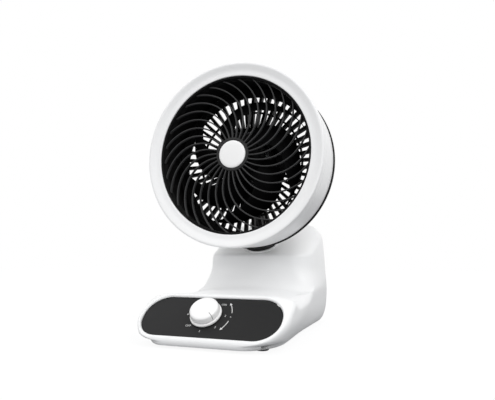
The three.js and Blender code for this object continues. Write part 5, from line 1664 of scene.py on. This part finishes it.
@dataclass
class Studio:
    """Camera, soft lamps, world and floor; lamps are name, place and size in metres, and watts."""

    place: tuple[float, float, float] = (220.0, -589.8, 96.0)
    azimuth: float = 20.5
    elevation: float = -7.2
    focal_pixels: float = 458.82
    picture_width: int = 495
    sensor: float = 36.0
    daylight: float = 0.97
    floor_half: float = 3000.0
    floor_colour: tuple[float, float, float, float] = (0.34, 0.343, 0.35, 1.0)
    floor_glow: float = 1.26
    floor_share: float = 0.72
    floor_drop: float = 0.05
    aim: tuple[float, float, float] = (0.0, 0.0, 0.16)
    lamps: tuple[tuple[str, tuple[float, float, float], float, float], ...] = (
        ("key_soft_box", (-0.9, -1.5, 1.4), 1.2, 4.0), ("front_soft_box", (0.2, -2.1, 0.3), 1.4, 8.0),
        ("right_soft_box", (1.4, -0.7, 1.5), 1.0, 12.0))

    def camera(self) -> None:
        """Camera at the photograph's place: the lens is 36 mm times focal length over width, in pixels."""
        data = bpy.data.cameras.new("camera")
        data.sensor_fit, data.sensor_width = "HORIZONTAL", self.sensor
        data.lens = self.sensor * self.focal_pixels / self.picture_width
        data.clip_start, data.clip_end = 0.01, 50.0
        a, e = math.radians(self.azimuth), math.radians(self.elevation)
        ahead = Vector((-math.sin(a) * math.cos(e), math.cos(a) * math.cos(e), -math.sin(e)))
        thing = linked("camera", data)
        thing.rotation_euler = ahead.to_track_quat("-Z", "Y").to_euler()
        thing.location = Vector(self.place) * MM
        bpy.context.scene.camera = thing

    def lamp(self, name: str, where: tuple[float, float, float], size: float, watts: float) -> None:
        """A square soft box that points at the fan's middle.

        Args:
            name: Name of the lamp.
            where: Its place in metres.
            size: Side in metres.
            watts: Power.
        """
        data = bpy.data.lights.new(name, "AREA")
        data.shape, data.size, data.energy = "SQUARE", size, watts
        thing = linked(name, data)
        thing.location = where
        thing.rotation_euler = (Vector(self.aim) - Vector(where)).to_track_quat("-Z", "Y").to_euler()

    def world(self) -> None:
        """World: soft pale light, and plain white to camera, glossy and transmission rays."""
        world = bpy.context.scene.world = bpy.data.worlds.new("studio")
        world.use_nodes = True
        tree = world.node_tree
        tree.nodes.clear()
        rays = add(tree, "LightPath").outputs
        seen = calc(tree, "MAXIMUM", rays["Is Camera Ray"], rays["Is Glossy Ray"])
        shown = calc(tree, "MAXIMUM", seen, rays["Is Transmission Ray"])
        light = add(tree, "Background", {"Color": PLAIN_WHITE, "Strength": self.daylight})
        white = add(tree, "Background", {"Color": PLAIN_WHITE, "Strength": 1.0})
        mix = add(tree, "MixShader", {"Fac": shown, 1: light.outputs[0], 2: white.outputs[0]})
        add(tree, "OutputWorld", {"Surface": mix.outputs[0]})

    def floor(self) -> None:
        """Pale floor: part plain white to the camera, part matt so that it keeps the shadow."""
        line = np.array([-self.floor_half, self.floor_half])
        x, y = np.meshgrid(line, line)
        points = np.stack([x.ravel(), y.ravel(), np.full(4, -self.floor_drop)], axis=1)
        mesh = mesh_of("floor", (points, [grid_faces(2, 2)]))
        material = bpy.data.materials.new("pale_floor")
        material.use_nodes = True
        tree = material.node_tree
        tree.nodes.clear()
        share = calc(tree, "MULTIPLY", add(tree, "LightPath").outputs["Is Camera Ray"], self.floor_share)
        matt = add(tree, "BsdfDiffuse", {"Color": self.floor_colour})
        white = add(tree, "Emission", {"Strength": self.floor_glow})
        mix = add(tree, "MixShader", {"Fac": share, 1: matt.outputs[0], 2: white.outputs[0]})
        add(tree, "OutputMaterial", {"Surface": mix.outputs[0]})
        mesh.materials.append(material)
        linked("floor", mesh)

    def build(self) -> None:
        """Sets up the whole studio."""
        self.camera()
        self.world()
        self.floor()
        for lamp in self.lamps:
            self.lamp(*lamp)
        bpy.context.scene.view_settings.view_transform = "Standard"


def main() -> None:
    """Builds the studio and every sub-assembly in order."""
    logging.basicConfig(level=logging.INFO, format="%(name)s: %(message)s")
    Studio().build()
    shop = Workshop()
    roof, panel, head = Roof(), Panel(), HeadFrame()
    housing = Housing(panel, roof)
    for part in (housing, Feet(housing), Controls(panel), Neck(roof), DrumShell(head), FrontGrille(head),
                 RearGrille(head, roof), Impeller(head)):
        part.build(shop)


if __name__ == "__main__":
    main()
